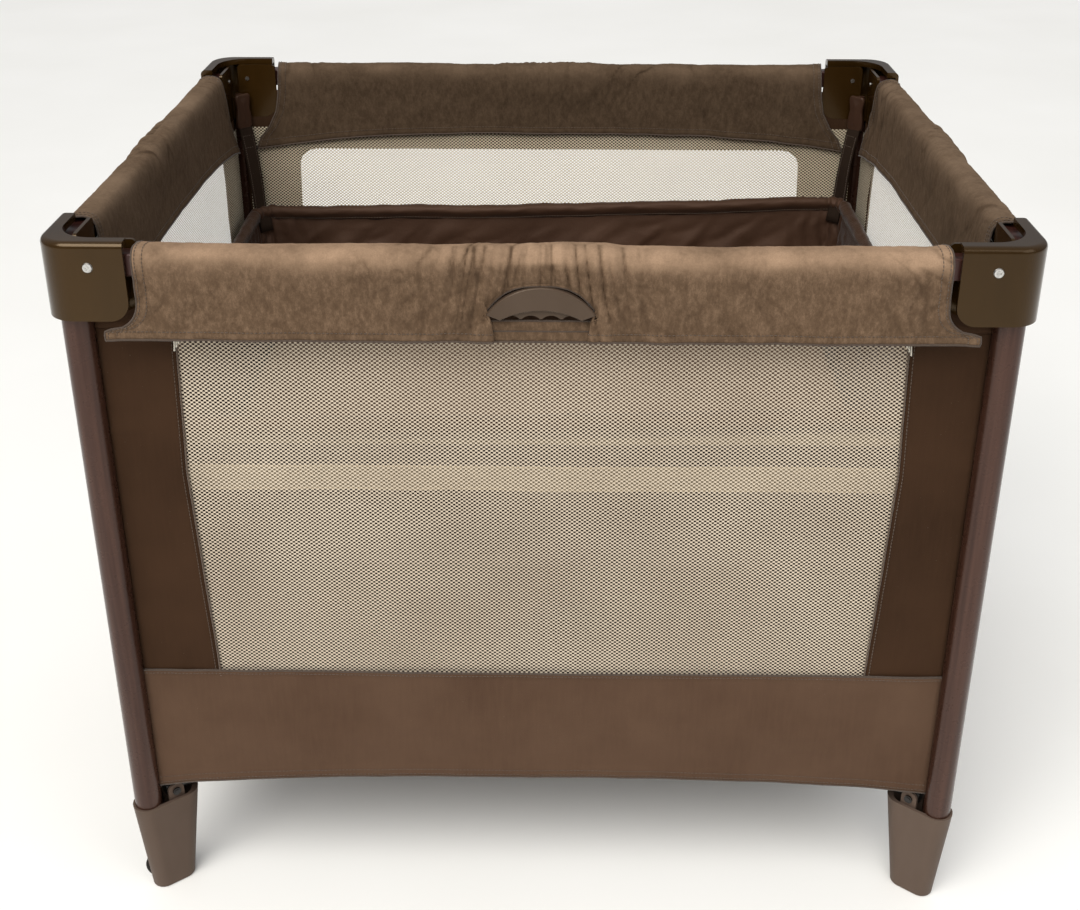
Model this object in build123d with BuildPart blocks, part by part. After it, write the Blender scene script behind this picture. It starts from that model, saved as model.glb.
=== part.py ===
"""Folding baby play yard (travel crib) with a hanging bassinet, in millimetres, +Z up.

The origin is on the ground under the middle of the frame; +X runs along the long sides.
Four corner legs carry four rails, each in two halves that fold down at a latch, and four
floor tubes that fold up at a central hub. Every half rail and every floor tube is a link
of the same shape of parallelogram, so one angle describes the whole fold.
"""
import os
from math import hypot

from build123d import *

# Overall size, over the outer faces of the corner guards
LENGTH = 1040
WIDTH = 830
HEIGHT = 890

# Legs: round aluminium section with two grooves for the edges of the fabric
LEG_INSET = 27.5            # from the guard's outer faces to the leg's axis
LEG_RADIUS = 16.5
LEG_BORE = 9.5
LEG_BOTTOM = 112
LEG_TOP = 823.5
LEG_X = LENGTH / 2 - LEG_INSET
LEG_Y = WIDTH / 2 - LEG_INSET

# Corner guards
GUARD_ARM = 93
GUARD_HEIGHT = 87
GUARD_WALL = 4.5
GUARD_CORNER = 34
GUARD_LIP = 17
GUARD_LIP_DEPTH = 8
GUARD_LIP_HOLLOW = 40
GUARD_BOTTOM = HEIGHT - GUARD_HEIGHT
GUARD_END_RADIUS = 22       # of the lower corners at the ends of the arms
SOCKET_RADIUS = 20
SOCKET_TOP = 836
SOCKET_RIB = (48, 16)       # length and width of the ribs from the socket to the shell
LEG_FIT = 0.2
WEB_THICKNESS = 4           # inner walls, which carry the rails' inner ends
WEB_TOP = 884
WEB_TOP_RADIUS = 5
WEB_START = 41.5            # from the guard's outer corner to each inner wall's two ends
WEB_END = 99
PIVOT_BORE = 45             # depth of the screws' holes

# Rails: flat-sided tube, pivoted at the guards and at the latches
RAIL_Z = 863
RAIL_INSET = 17             # from the guard's outer face to the rail's middle
RAIL_HEIGHT = 25
RAIL_DEPTH = 20
RAIL_WALL = 1.5
PIVOT_INSET = 55.5          # from the guard's outer face to the rail's corner pivot
LATCH_PIVOT = 30            # from the latch's middle to each of its pivots
LONG_LINK = LENGTH / 2 - PIVOT_INSET - LATCH_PIVOT
SHORT_LINK = WIDTH / 2 - PIVOT_INSET - LATCH_PIVOT

# Pivot pins and their holes
PIN_RADIUS = 3.0
PIN_HOLE = 3.15

# Latch housings
LATCH_LENGTH = 120
LATCH_SIDE = 3
LATCH_GAP = 0.4             # beside the rail
LATCH_BELOW = 17
LATCH_ABOVE = 16.5
LATCH_BRIDGE = 28
LATCH_RADIUS = 8
LATCH_SLOT = (22, 10)       # underneath, for the handle's stem

# Release handles
HANDLE_BACK = 17            # of the plate, from the rail's middle
HANDLE_PLATE = 6
HANDLE_EDGE = 2
HANDLE_GRIP_BACK = 8
HANDLE_GRIP_HEIGHT = 14
HANDLE_SHOULDER = 0.74      # of the half width
HANDLE_LIP = 6
FINGER_RADIUS = 13
FINGER_DROP = 9
STEM_WIDTH = 18
STEM_DEPTH = 8

# Feet, drawn along the floor tube's direction from the leg's axis inwards
FOOT_HEIGHT = 134
FOOT_BASE = (54, 30, 19)    # length, width and middle of the bottom outline
FOOT_RIM = (83.5, 38, 22.25)
FOOT_POCKET = (58, 30, 27)
FOOT_EAR_OUT = 13.6
FOOT_EAR_IN = 9.6
FOOT_EAR_RADIUS = 10

# Floor tubes and hub
FLOOR_Z = 144
FLOOR_PIVOT = 32            # from the leg's axis to the foot pivot
FLOOR_RADIUS = 9
FLOOR_BORE = 7.5
FLOOR_END = 10              # of the tube past each pivot
FLOOR_LINK = hypot(LONG_LINK, SHORT_LINK)
INWARD = (-LONG_LINK / FLOOR_LINK, -SHORT_LINK / FLOOR_LINK, 0)
HUB_RADIUS = 58
HUB_BOTTOM = 126
HUB_CEILING = 158
HUB_TOP = 176
HUB_SLOT = 19.6
HUB_SLOT_START = 14.5       # from the pivot towards the middle
HUB_POST_RADIUS = 20
HUB_POST_FOOT = 27
HUB_POST_CLEARANCE = 1
HUB_POST_FLARE = 30         # height of the foot's flare
HUB_SHOULDER = 6            # of the disc above the slots' ceiling
HUB_CHAMFER = 8

# Caster wheels, let into the two left feet
WHEEL_RADIUS = 20
WHEEL_WIDTH = 12
WHEEL_X = LEG_X - 2.5
WHEEL_Y = LEG_Y - 8.5
WHEEL_Z = 23
WHEEL_AXLE = 24             # length over the stub axles
WHEEL_CLEARANCE = 3.5       # round the wheel's rim
WHEEL_SIDE_CLEARANCE = 0.8

# Fabric
COVER_INSET = 102           # from the guard's outer face to the cover's end
COVER_OUT = 18.8            # from the rail's middle outwards
COVER_IN = -19.5
COVER_CLOTH = 2.5
COVER_TOP = 20
COVER_BOTTOM = -82
COVER_CUT = 79              # height of the opening for the handle
PANEL_OFFSET = -15          # from the rail's middle, towards the inside
PANEL_CLOTH = 2
PANEL_BOTTOM = 176
PANEL_TOP = 795
PANEL_EDGE = 14             # from the leg's axis to the panel's edge in its groove
FLOOR_CLOTH = (940, 730, 2)
FLOOR_CLOTH_Z = 184

# Bassinet: a tapered fabric tray with a rim tube, hung from the guards
TRAY_TOP = (930, 730, 30)   # length, width and corner radius
TRAY_BASE = (880, 660, 30)
TRAY_CLOTH = 4
TRAY_RIM_Z = 665
TRAY_BASE_Z = 450
RIM_RADIUS = 5
MATTRESS = (866, 646, 20)
CLIP_REACH = 30             # from the leg's axis to the clip plate's middle
CLIP_PLATE = (26, 6, 52)    # width, thickness and height
CLIP_LIP = (10, 19, 5.5)    # width, reach and thickness
STRAP = (22, 2)
STRAP_END = (455, 354, 680)
CLIP_LIP_Z = 836.5          # underside of the clip's lip, on the socket

CORNERS = {
    "front_left": (-1, -1),
    "front_right": (1, -1),
    "back_left": (-1, 1),
    "back_right": (1, 1),
}

os.makedirs("parts", exist_ok=True)


def save(piece, name):
    """Label a finished piece and write its file."""
    piece.part.label = name
    export_step(piece.part, f"parts/{name}.step")


def side_frame(outward, middle):
    """A plane on a rail's middle: x along the rail, y up and z outwards."""
    return Plane(
        origin=(outward[0] * middle, outward[1] * middle, RAIL_Z),
        x_dir=(-outward[1], outward[0], 0),
        z_dir=outward,
    )


FRONT = side_frame((0, -1, 0), WIDTH / 2 - RAIL_INSET)
BACK = side_frame((0, 1, 0), WIDTH / 2 - RAIL_INSET)
LEFT = side_frame((-1, 0, 0), LENGTH / 2 - RAIL_INSET)
RIGHT = side_frame((1, 0, 0), LENGTH / 2 - RAIL_INSET)

# Side name: frame, link length, cover half length, panel half length, handle size
LONG_SIDE = (LONG_LINK, LENGTH / 2 - COVER_INSET, LEG_X - PANEL_EDGE, (57, -17, -48))
SHORT_SIDE = (SHORT_LINK, WIDTH / 2 - COVER_INSET, LEG_Y - PANEL_EDGE, (36, -28, -46))
SIDES = {
    "front": (FRONT, *LONG_SIDE),
    "back": (BACK, *LONG_SIDE),
    "left": (LEFT, *SHORT_SIDE),
    "right": (RIGHT, *SHORT_SIDE),
}

# Each half rail: side, and the end of the side's own x axis that it is on
RAIL_HALVES = {
    "front_rail_left": ("front", -1),
    "front_rail_right": ("front", 1),
    "back_rail_left": ("back", 1),
    "back_rail_right": ("back", -1),
    "left_rail_front": ("left", 1),
    "left_rail_back": ("left", -1),
    "right_rail_front": ("right", -1),
    "right_rail_back": ("right", 1),
}

# Planes of the back right corner, along its floor tube
FOOT_PLAN = Plane(origin=(LEG_X, LEG_Y, 0), x_dir=INWARD, z_dir=(0, 0, 1))
FOOT_SIDE = Plane(origin=(LEG_X, LEG_Y, 0), x_dir=INWARD, z_dir=(INWARD[1], -INWARD[0], 0))


def mirrored(source, sx, sy):
    """The back right piece, mirrored into another corner."""
    with BuildPart() as piece:
        add(source.part)
    if sx < 0:
        with BuildPart() as piece_x:
            mirror(piece.part, about=Plane.YZ)
        piece = piece_x
    if sy < 0:
        with BuildPart() as piece_y:
            mirror(piece.part, about=Plane.XZ)
        piece = piece_y
    return piece


def leg():
    """The back right leg, with a groove towards each neighbouring leg."""
    groove_depth = 12
    groove_width = 4
    groove_offset = RAIL_INSET - LEG_INSET - PANEL_OFFSET
    reach = LEG_RADIUS + 1
    groove = reach - groove_depth
    with BuildPart() as piece:
        with BuildSketch(Plane.XY.offset(LEG_BOTTOM)):
            with Locations((LEG_X, LEG_Y)):
                Circle(LEG_RADIUS)
                Circle(LEG_BORE, mode=Mode.SUBTRACT)
            with Locations((LEG_X - reach + groove / 2, LEG_Y - groove_offset)):
                Rectangle(groove, groove_width, mode=Mode.SUBTRACT)
            with Locations((LEG_X - groove_offset, LEG_Y - reach + groove / 2)):
                Rectangle(groove_width, groove, mode=Mode.SUBTRACT)
        extrude(amount=LEG_TOP - LEG_BOTTOM)
    return piece


def corner_square(inset, radius, z):
    """A square face in the back right corner, its outer corner rounded."""
    x = LENGTH / 2 - inset
    y = WIDTH / 2 - inset
    size = GUARD_ARM + 2 * inset
    with BuildSketch(Plane.XY.offset(z)) as outline:
        with Locations((x - size / 2, y - size / 2)):
            Rectangle(size, size)
        fillet(outline.vertices().sort_by_distance((x, y, 0))[0], radius)
    return outline.sketch


def guard():
    """The back right corner guard: an L of shell with a curled top, a leg socket and ears."""
    x = LENGTH / 2
    y = WIDTH / 2
    lip_z = HEIGHT - GUARD_LIP_DEPTH
    pivot_x = x - PIVOT_INSET
    pivot_y = y - PIVOT_INSET
    web_inset = RAIL_INSET + RAIL_DEPTH / 2 + 2
    webs = (
        (Plane(origin=(x, y - web_inset, 0), x_dir=(-1, 0, 0), z_dir=(0, 1, 0)), -WEB_THICKNESS),
        (Plane(origin=(x - web_inset, y, 0), x_dir=(0, -1, 0), z_dir=(-1, 0, 0)), WEB_THICKNESS),
    )
    inside = corner_square(GUARD_WALL, GUARD_CORNER - GUARD_WALL, GUARD_BOTTOM - 1)
    mouth = corner_square(GUARD_LIP, GUARD_LIP_HOLLOW, GUARD_BOTTOM)
    with BuildPart() as piece:
        extrude(corner_square(0, GUARD_CORNER, GUARD_BOTTOM), amount=GUARD_HEIGHT)
        fillet(
            piece.edges().group_by(Axis.Z)[-1].sort_by_distance((x, y, HEIGHT))[:3],
            GUARD_LIP_DEPTH - 1,
        )
        extrude(inside, amount=lip_z - GUARD_BOTTOM + 1, mode=Mode.SUBTRACT)
        extrude(mouth, amount=GUARD_HEIGHT + 1, mode=Mode.SUBTRACT)
        ends = piece.edges().group_by(Axis.Z)[0]
        fillet(ends.sort_by(Axis.X)[0], GUARD_END_RADIUS)
        fillet(piece.edges().group_by(Axis.Z)[0].sort_by(Axis.Y)[0], GUARD_END_RADIUS)
        with BuildSketch(Plane.XY.offset(GUARD_BOTTOM)):
            with Locations((LEG_X, LEG_Y)):
                Circle(SOCKET_RADIUS)
                Rectangle(SOCKET_RIB[0], SOCKET_RIB[1], align=(Align.MIN, Align.CENTER))
                Rectangle(SOCKET_RIB[1], SOCKET_RIB[0], align=(Align.CENTER, Align.MIN))
            with Locations((x - GUARD_LIP_HOLLOW, y - GUARD_LIP_HOLLOW)):
                Rectangle(GUARD_LIP_HOLLOW - 2, GUARD_LIP_HOLLOW - 2, align=(Align.MIN, Align.MIN))
            with BuildSketch(Plane.XY.offset(GUARD_BOTTOM), mode=Mode.INTERSECT):
                with Locations((x - GUARD_ARM / 2 - 1, y - GUARD_ARM / 2 - 1)):
                    RectangleRounded(GUARD_ARM, GUARD_ARM, GUARD_CORNER - 1)
        extrude(amount=SOCKET_TOP - GUARD_BOTTOM)
        for plane, thickness in webs:
            with BuildSketch(plane) as web:
                with Locations((WEB_START, GUARD_BOTTOM)):
                    Rectangle(WEB_END - WEB_START, WEB_TOP - GUARD_BOTTOM, align=(Align.MIN, Align.MIN))
                end = web.vertices().sort_by(Axis.X)[-2:].sort_by(Axis.Y)
                fillet(end[0], GUARD_END_RADIUS)
                fillet(web.vertices().sort_by(Axis.Y)[-2:], WEB_TOP_RADIUS)
            extrude(amount=thickness)
        with Locations((LEG_X, LEG_Y, GUARD_BOTTOM - 1)):
            Cylinder(
                LEG_RADIUS + LEG_FIT,
                LEG_TOP - GUARD_BOTTOM + 1 + 2 * LEG_FIT,
                align=(Align.CENTER, Align.CENTER, Align.MIN),
                mode=Mode.SUBTRACT,
            )
        with BuildSketch(Plane(origin=(pivot_x, y, RAIL_Z), z_dir=(0, 1, 0))):
            Circle(PIN_HOLE)
        extrude(amount=-PIVOT_BORE, mode=Mode.SUBTRACT)
        with BuildSketch(Plane(origin=(x, pivot_y, RAIL_Z), z_dir=(1, 0, 0))):
            Circle(PIN_HOLE)
        extrude(amount=-PIVOT_BORE, mode=Mode.SUBTRACT)
    return piece


def guard_screws():
    """The two pivot screws of the back right guard."""
    head_radius = 5.5
    head = 1.6
    shank = RAIL_INSET + RAIL_DEPTH / 2 + 2 + WEB_THICKNESS + 1
    recess = 0.9
    with BuildPart() as piece:
        for plane in (
            Plane(origin=(LENGTH / 2 - PIVOT_INSET, WIDTH / 2, RAIL_Z), z_dir=(0, 1, 0)),
            Plane(origin=(LENGTH / 2, WIDTH / 2 - PIVOT_INSET, RAIL_Z), z_dir=(1, 0, 0)),
        ):
            with BuildSketch(plane):
                Circle(PIN_RADIUS)
            extrude(amount=-shank)
            with BuildSketch(plane):
                Circle(head_radius)
            extrude(amount=head, taper=25)
            with BuildSketch(plane.offset(head)):
                Rectangle(5, 1.2)
                Rectangle(1.2, 5)
            extrude(amount=-recess, mode=Mode.SUBTRACT)
    return piece


def foot(with_wheel):
    """The back right foot: a tapered fin with a pocket for the leg and ears for the tube."""
    with BuildPart() as piece:
        with BuildSketch(FOOT_PLAN):
            with Locations((FOOT_BASE[2], 0)):
                SlotOverall(FOOT_BASE[0], FOOT_BASE[1])
        with BuildSketch(FOOT_PLAN.offset(FOOT_HEIGHT)):
            with Locations((FOOT_RIM[2], 0)):
                SlotOverall(FOOT_RIM[0], FOOT_RIM[1])
        loft()
        fillet(piece.edges().group_by(Axis.Z)[0], 2.5)
        with BuildSketch(FOOT_PLAN.offset(LEG_BOTTOM)):
            Circle(LEG_RADIUS + LEG_FIT)
            with Locations((FOOT_POCKET[2], 0)):
                SlotOverall(FOOT_POCKET[0], FOOT_POCKET[1])
        extrude(amount=FOOT_HEIGHT, mode=Mode.SUBTRACT)
        with BuildSketch(FOOT_SIDE):
            with Locations((FLOOR_PIVOT, FLOOR_Z)):
                Circle(FOOT_EAR_RADIUS)
                Rectangle(
                    2 * FOOT_EAR_RADIUS, FLOOR_Z - LEG_BOTTOM + 4, align=(Align.CENTER, Align.MAX)
                )
        extrude(amount=FOOT_EAR_OUT, both=True)
        with BuildSketch(FOOT_SIDE):
            with Locations((FLOOR_PIVOT, LEG_BOTTOM)):
                Rectangle(4 * FOOT_EAR_RADIUS, FOOT_HEIGHT, align=(Align.CENTER, Align.MIN))
        extrude(amount=FOOT_EAR_IN, both=True, mode=Mode.SUBTRACT)
        with BuildSketch(FOOT_SIDE):
            with Locations((FLOOR_PIVOT, FLOOR_Z)):
                Circle(PIN_HOLE)
        extrude(amount=FOOT_EAR_OUT + 1, both=True, mode=Mode.SUBTRACT)
        if with_wheel:
            wheel_plane = Plane(origin=(WHEEL_X, WHEEL_Y, WHEEL_Z), z_dir=(0, 1, 0))
            with BuildSketch(wheel_plane):
                Circle(WHEEL_RADIUS + WHEEL_CLEARANCE)
            extrude(amount=WHEEL_WIDTH / 2 + WHEEL_SIDE_CLEARANCE, both=True, mode=Mode.SUBTRACT)
            with BuildSketch(wheel_plane):
                Circle(PIN_HOLE)
            extrude(amount=WHEEL_AXLE / 2 + 0.5, both=True, mode=Mode.SUBTRACT)
    return piece


def wheel():
    """The caster of the back right corner, moulded in one with its stub axles."""
    with BuildPart() as piece:
        with BuildSketch(Plane(origin=(WHEEL_X, WHEEL_Y, WHEEL_Z), z_dir=(0, 1, 0))):
            Circle(WHEEL_RADIUS)
        extrude(amount=WHEEL_WIDTH / 2, both=True)
        fillet(piece.edges(), 2)
        with BuildSketch(Plane(origin=(WHEEL_X, WHEEL_Y, WHEEL_Z), z_dir=(0, 1, 0))):
            Circle(PIN_RADIUS)
        extrude(amount=WHEEL_AXLE / 2, both=True)
    return piece


def floor_tube():
    """The back right floor tube, from its foot pivot to its hub pivot."""
    start = FLOOR_PIVOT - FLOOR_END
    length = FLOOR_LINK + 2 * FLOOR_END
    section = Plane(FOOT_SIDE.from_local_coords((start, FLOOR_Z, 0)), z_dir=INWARD)
    with BuildPart() as piece:
        with BuildSketch(section):
            Circle(FLOOR_RADIUS)
            Circle(FLOOR_BORE, mode=Mode.SUBTRACT)
        extrude(amount=length)
        with BuildSketch(FOOT_SIDE):
            with Locations((FLOOR_PIVOT, FLOOR_Z), (FLOOR_PIVOT + FLOOR_LINK, FLOOR_Z)):
                Circle(PIN_HOLE)
        extrude(amount=FLOOR_RADIUS + 1, both=True, mode=Mode.SUBTRACT)
    return piece


def floor_tube_pins():
    """The pins of the back right floor tube: a headed one at the foot, a plain one at the hub."""
    half = 17.2
    head = 2.4
    with BuildPart() as piece:
        with BuildSketch(FOOT_SIDE):
            with Locations((FLOOR_PIVOT, FLOOR_Z), (FLOOR_PIVOT + FLOOR_LINK, FLOOR_Z)):
                Circle(PIN_RADIUS)
        extrude(amount=half, both=True)
        for start in (FOOT_EAR_OUT + 0.5, -FOOT_EAR_OUT - 0.5 - head):
            with BuildSketch(FOOT_SIDE.offset(start)):
                with Locations((FLOOR_PIVOT, FLOOR_Z)):
                    Circle(PIN_RADIUS + 2)
            extrude(amount=head)
    return piece


def hub():
    """The floor hub: a disc with four open slots underneath, on a post that meets the floor."""
    slot_length = 2 * HUB_RADIUS
    with BuildPart() as piece:
        with BuildSketch(Plane.XY.offset(HUB_BOTTOM)):
            Circle(HUB_RADIUS)
        extrude(amount=HUB_CEILING + HUB_SHOULDER - HUB_BOTTOM)
        with BuildSketch(Plane.XY.offset(HUB_CEILING + HUB_SHOULDER)):
            Circle(HUB_RADIUS - HUB_CHAMFER)
        extrude(amount=HUB_TOP - HUB_CEILING - HUB_SHOULDER, taper=30)
        for sx, sy in CORNERS.values():
            outward = (-sx * INWARD[0], -sy * INWARD[1], 0)
            pivot_x = sx * (LEG_X + INWARD[0] * (FLOOR_PIVOT + FLOOR_LINK))
            pivot_y = sy * (LEG_Y + INWARD[1] * (FLOOR_PIVOT + FLOOR_LINK))
            plan = Plane(origin=(pivot_x, pivot_y, HUB_CEILING), x_dir=outward, z_dir=(0, 0, 1))
            with BuildSketch(plan):
                with Locations((-HUB_SLOT_START, 0)):
                    Rectangle(slot_length, HUB_SLOT, align=(Align.MIN, Align.CENTER))
            extrude(amount=-(HUB_CEILING - HUB_BOTTOM + 1), mode=Mode.SUBTRACT)
            across = Plane(
                origin=(pivot_x, pivot_y, FLOOR_Z), x_dir=outward, z_dir=(outward[1], -outward[0], 0)
            )
            with BuildSketch(across):
                Circle(PIN_HOLE)
            extrude(amount=18, both=True, mode=Mode.SUBTRACT)
        with BuildSketch(Plane.XY.offset(HUB_POST_CLEARANCE)):
            Circle(HUB_POST_FOOT)
        with BuildSketch(Plane.XY.offset(HUB_POST_FLARE)):
            Circle(HUB_POST_RADIUS)
        loft()
        with BuildSketch(Plane.XY.offset(HUB_POST_FLARE)):
            Circle(HUB_POST_RADIUS)
        extrude(amount=HUB_BOTTOM - HUB_POST_FLARE + 2)
    return piece


def half_rail(frame, link, hand):
    """One half of a rail, hollow, with round ends about its two pivots."""
    middle = hand * (LATCH_PIVOT + link / 2)
    with BuildPart() as piece:
        with BuildSketch(frame):
            with Locations((middle, 0)):
                SlotCenterToCenter(link, RAIL_HEIGHT)
        extrude(amount=RAIL_DEPTH / 2, both=True)
        fillet(piece.edges().filter_by(Axis(frame.origin, frame.x_dir)), 2.5)
        with BuildSketch(frame):
            with Locations((middle, 0)):
                Rectangle(link + 2 * RAIL_HEIGHT, RAIL_HEIGHT - 2 * RAIL_WALL)
        extrude(amount=RAIL_DEPTH / 2 - RAIL_WALL, both=True, mode=Mode.SUBTRACT)
        with BuildSketch(frame):
            with Locations((middle - link / 2, 0), (middle + link / 2, 0)):
                Circle(PIN_HOLE)
        extrude(amount=RAIL_DEPTH, both=True, mode=Mode.SUBTRACT)
    return piece


def latch(frame):
    """A latch housing: a channel open above the rails' ends, bridged in the middle."""
    inner = RAIL_DEPTH / 2 + LATCH_GAP
    floor_top = LATCH_BELOW - LATCH_SIDE - 0.6
    bridge_bottom = LATCH_ABOVE - LATCH_SIDE
    side_cut = (LATCH_LENGTH - LATCH_BRIDGE) / 2 + 1
    with BuildPart() as piece:
        with BuildSketch(frame) as outline:
            with Locations((0, -LATCH_BELOW)):
                Rectangle(LATCH_LENGTH, LATCH_BELOW + LATCH_ABOVE, align=(Align.CENTER, Align.MIN))
            fillet(outline.vertices(), LATCH_RADIUS)
        extrude(amount=inner + LATCH_SIDE, both=True)
        with BuildSketch(frame):
            with Locations((0, -floor_top)):
                Rectangle(LATCH_LENGTH + 2, floor_top + bridge_bottom, align=(Align.CENTER, Align.MIN))
            for hand in (-1, 1):
                with Locations((hand * (LATCH_BRIDGE + side_cut) / 2, 0)):
                    Rectangle(side_cut, LATCH_ABOVE + 1, align=(Align.CENTER, Align.MIN))
        extrude(amount=inner, both=True, mode=Mode.SUBTRACT)
        with BuildSketch(frame):
            with Locations((0, -LATCH_BELOW)):
                Rectangle(*LATCH_SLOT)
        extrude(amount=LATCH_SLOT[1] / 2, both=True, mode=Mode.SUBTRACT)
        with BuildSketch(frame):
            with Locations((-LATCH_PIVOT, 0), (LATCH_PIVOT, 0)):
                Circle(PIN_HOLE)
        extrude(amount=inner + LATCH_SIDE + 1, both=True, mode=Mode.SUBTRACT)
    return piece


def latch_pins(frame):
    """The two rivets of a latch housing."""
    shank = RAIL_DEPTH / 2 + LATCH_GAP + LATCH_SIDE
    head = 1.3
    with BuildPart() as piece:
        with BuildSketch(frame):
            with Locations((-LATCH_PIVOT, 0), (LATCH_PIVOT, 0)):
                Circle(PIN_RADIUS)
        extrude(amount=shank, both=True)
        for start in (shank, -shank - head):
            with BuildSketch(frame.offset(start)):
                with Locations((-LATCH_PIVOT, 0), (LATCH_PIVOT, 0)):
                    Circle(PIN_RADIUS + 2)
            extrude(amount=head)
    return piece


def handle(frame, half_width, top, tip):
    """A release handle: an arched plate, a scalloped finger grip and a stem to the latch."""
    shoulder = half_width * HANDLE_SHOULDER
    low = tip - HANDLE_LIP
    stem_low = low + HANDLE_LIP
    half_stem = STEM_DEPTH / 2
    fingers = 4 if half_width > 40 else 2
    with BuildPart() as piece:
        with BuildSketch(frame.offset(HANDLE_BACK)):
            with BuildLine():
                ThreePointArc((-half_width, tip), (0, top), (half_width, tip))
                Line((half_width, tip), (shoulder, low))
                ThreePointArc((shoulder, low), (0, tip + 5), (-shoulder, low))
                Line((-shoulder, low), (-half_width, tip))
            make_face()
        extrude(amount=HANDLE_PLATE)
        fillet(piece.faces().sort_by(Axis(frame.origin, frame.z_dir))[-1].edges(), HANDLE_EDGE)
        with BuildSketch(frame.offset(HANDLE_GRIP_BACK)):
            with Locations((0, low)):
                Rectangle(2 * shoulder, HANDLE_GRIP_HEIGHT, align=(Align.CENTER, Align.MIN))
            for finger in range(fingers):
                along = (finger + 0.5 - fingers / 2) * 2 * shoulder / fingers
                with Locations((along, low - FINGER_DROP)):
                    Circle(FINGER_RADIUS, mode=Mode.SUBTRACT)
        extrude(amount=HANDLE_BACK - HANDLE_GRIP_BACK)
        with BuildSketch(frame.offset(-half_stem)):
            with Locations((0, stem_low)):
                Rectangle(STEM_WIDTH, STEM_DEPTH, align=(Align.CENTER, Align.MIN))
        extrude(amount=HANDLE_GRIP_BACK + half_stem)
        with BuildSketch(frame.offset(-half_stem)):
            with Locations((0, stem_low)):
                Rectangle(STEM_WIDTH, -low - 7, align=(Align.CENTER, Align.MIN))
        extrude(amount=STEM_DEPTH)
    return piece


def cover(frame, half, opening):
    """The fabric sleeve over a rail, with an opening for the handle."""
    with BuildPart() as piece:
        with BuildSketch(frame.offset(COVER_IN)):
            with Locations((0, COVER_BOTTOM)):
                Rectangle(2 * half, COVER_TOP - COVER_BOTTOM, align=(Align.CENTER, Align.MIN))
        extrude(amount=COVER_OUT - COVER_IN)
        with BuildSketch(frame.offset(COVER_IN + COVER_CLOTH)):
            with Locations((0, COVER_TOP - COVER_CLOTH)):
                Rectangle(2 * half + 2, COVER_TOP - COVER_BOTTOM, align=(Align.CENTER, Align.MAX))
        extrude(amount=COVER_OUT - COVER_IN - 2 * COVER_CLOTH, mode=Mode.SUBTRACT)
        with BuildSketch(frame):
            with Locations((0, COVER_BOTTOM - 1)):
                Rectangle(2 * opening, COVER_CUT + 1, align=(Align.CENTER, Align.MIN))
        extrude(amount=COVER_OUT + 1, mode=Mode.SUBTRACT)
    return piece


def panel(frame, half):
    """One fabric side, held in the grooves of two legs."""
    with BuildPart() as piece:
        with BuildSketch(frame.offset(PANEL_OFFSET - PANEL_CLOTH / 2)):
            with Locations((0, PANEL_BOTTOM - RAIL_Z)):
                Rectangle(2 * half, PANEL_TOP - PANEL_BOTTOM, align=(Align.CENTER, Align.MIN))
        extrude(amount=PANEL_CLOTH)
    return piece


def hanger():
    """The back right hook and strap of the bassinet."""
    diagonal = (-(0.5**0.5), -(0.5**0.5), 0)
    plan = Plane(origin=(LEG_X, LEG_Y, 0), x_dir=diagonal, z_dir=(0, 0, 1))
    lip_top = CLIP_LIP_Z + CLIP_LIP[2]
    plate_bottom = lip_top - CLIP_PLATE[2]
    outer = CLIP_REACH + CLIP_PLATE[1] / 2
    strap_top = Vector(LEG_X, LEG_Y, plate_bottom - 1.5) + Vector(*diagonal) * (CLIP_REACH + 1)
    strap_line = Vector(*STRAP_END) - strap_top
    with BuildPart() as piece:
        with BuildSketch(plan.offset(plate_bottom)):
            with Locations((CLIP_REACH, 0)):
                Rectangle(CLIP_PLATE[1], CLIP_PLATE[0])
        extrude(amount=CLIP_PLATE[2])
        with BuildSketch(plan.offset(CLIP_LIP_Z)):
            with Locations((outer, 0)):
                Rectangle(CLIP_LIP[1], CLIP_LIP[0], align=(Align.MAX, Align.CENTER))
        extrude(amount=CLIP_LIP[2])
        with BuildSketch(Plane(origin=strap_top, x_dir=(diagonal[1], -diagonal[0], 0), z_dir=strap_line)):
            Rectangle(STRAP[0], STRAP[1])
        extrude(amount=strap_line.length)
    return piece


# Corners
leg_source = leg()
guard_source = guard()
screws_source = guard_screws()
plain_foot = foot(with_wheel=False)
wheel_foot = foot(with_wheel=True)
wheel_source = wheel()
tube_source = floor_tube()
pins_source = floor_tube_pins()
for corner, (sx, sy) in CORNERS.items():
    save(mirrored(leg_source, sx, sy), f"leg_{corner}")
    save(mirrored(guard_source, sx, sy), f"corner_guard_{corner}")
    save(mirrored(screws_source, sx, sy), f"guard_screws_{corner}")
    save(mirrored(wheel_foot if sx < 0 else plain_foot, sx, sy), f"foot_{corner}")
    save(mirrored(tube_source, sx, sy), f"floor_tube_{corner}")
    save(mirrored(pins_source, sx, sy), f"floor_tube_pins_{corner}")
    if sx < 0:
        save(mirrored(wheel_source, sx, sy), f"caster_wheel_{corner}")
save(hub(), "floor_hub")

# Rails, latches, handles and fabric of each side
for name, (side, hand) in RAIL_HALVES.items():
    save(half_rail(SIDES[side][0], SIDES[side][1], hand), name)
for side, (frame, link, cover_half, panel_half, arch) in SIDES.items():
    save(latch(frame), f"{side}_latch")
    save(latch_pins(frame), f"{side}_latch_pins")
    save(handle(frame, *arch), f"{side}_handle")
    save(cover(frame, cover_half, arch[0] + 4), f"{side}_rail_cover")
    save(panel(frame, panel_half), f"{side}_panel")

with BuildPart() as floor_cloth:
    with Locations((0, 0, FLOOR_CLOTH_Z)):
        Box(*FLOOR_CLOTH, align=(Align.CENTER, Align.CENTER, Align.MIN))
save(floor_cloth, "floor_cloth")

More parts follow.
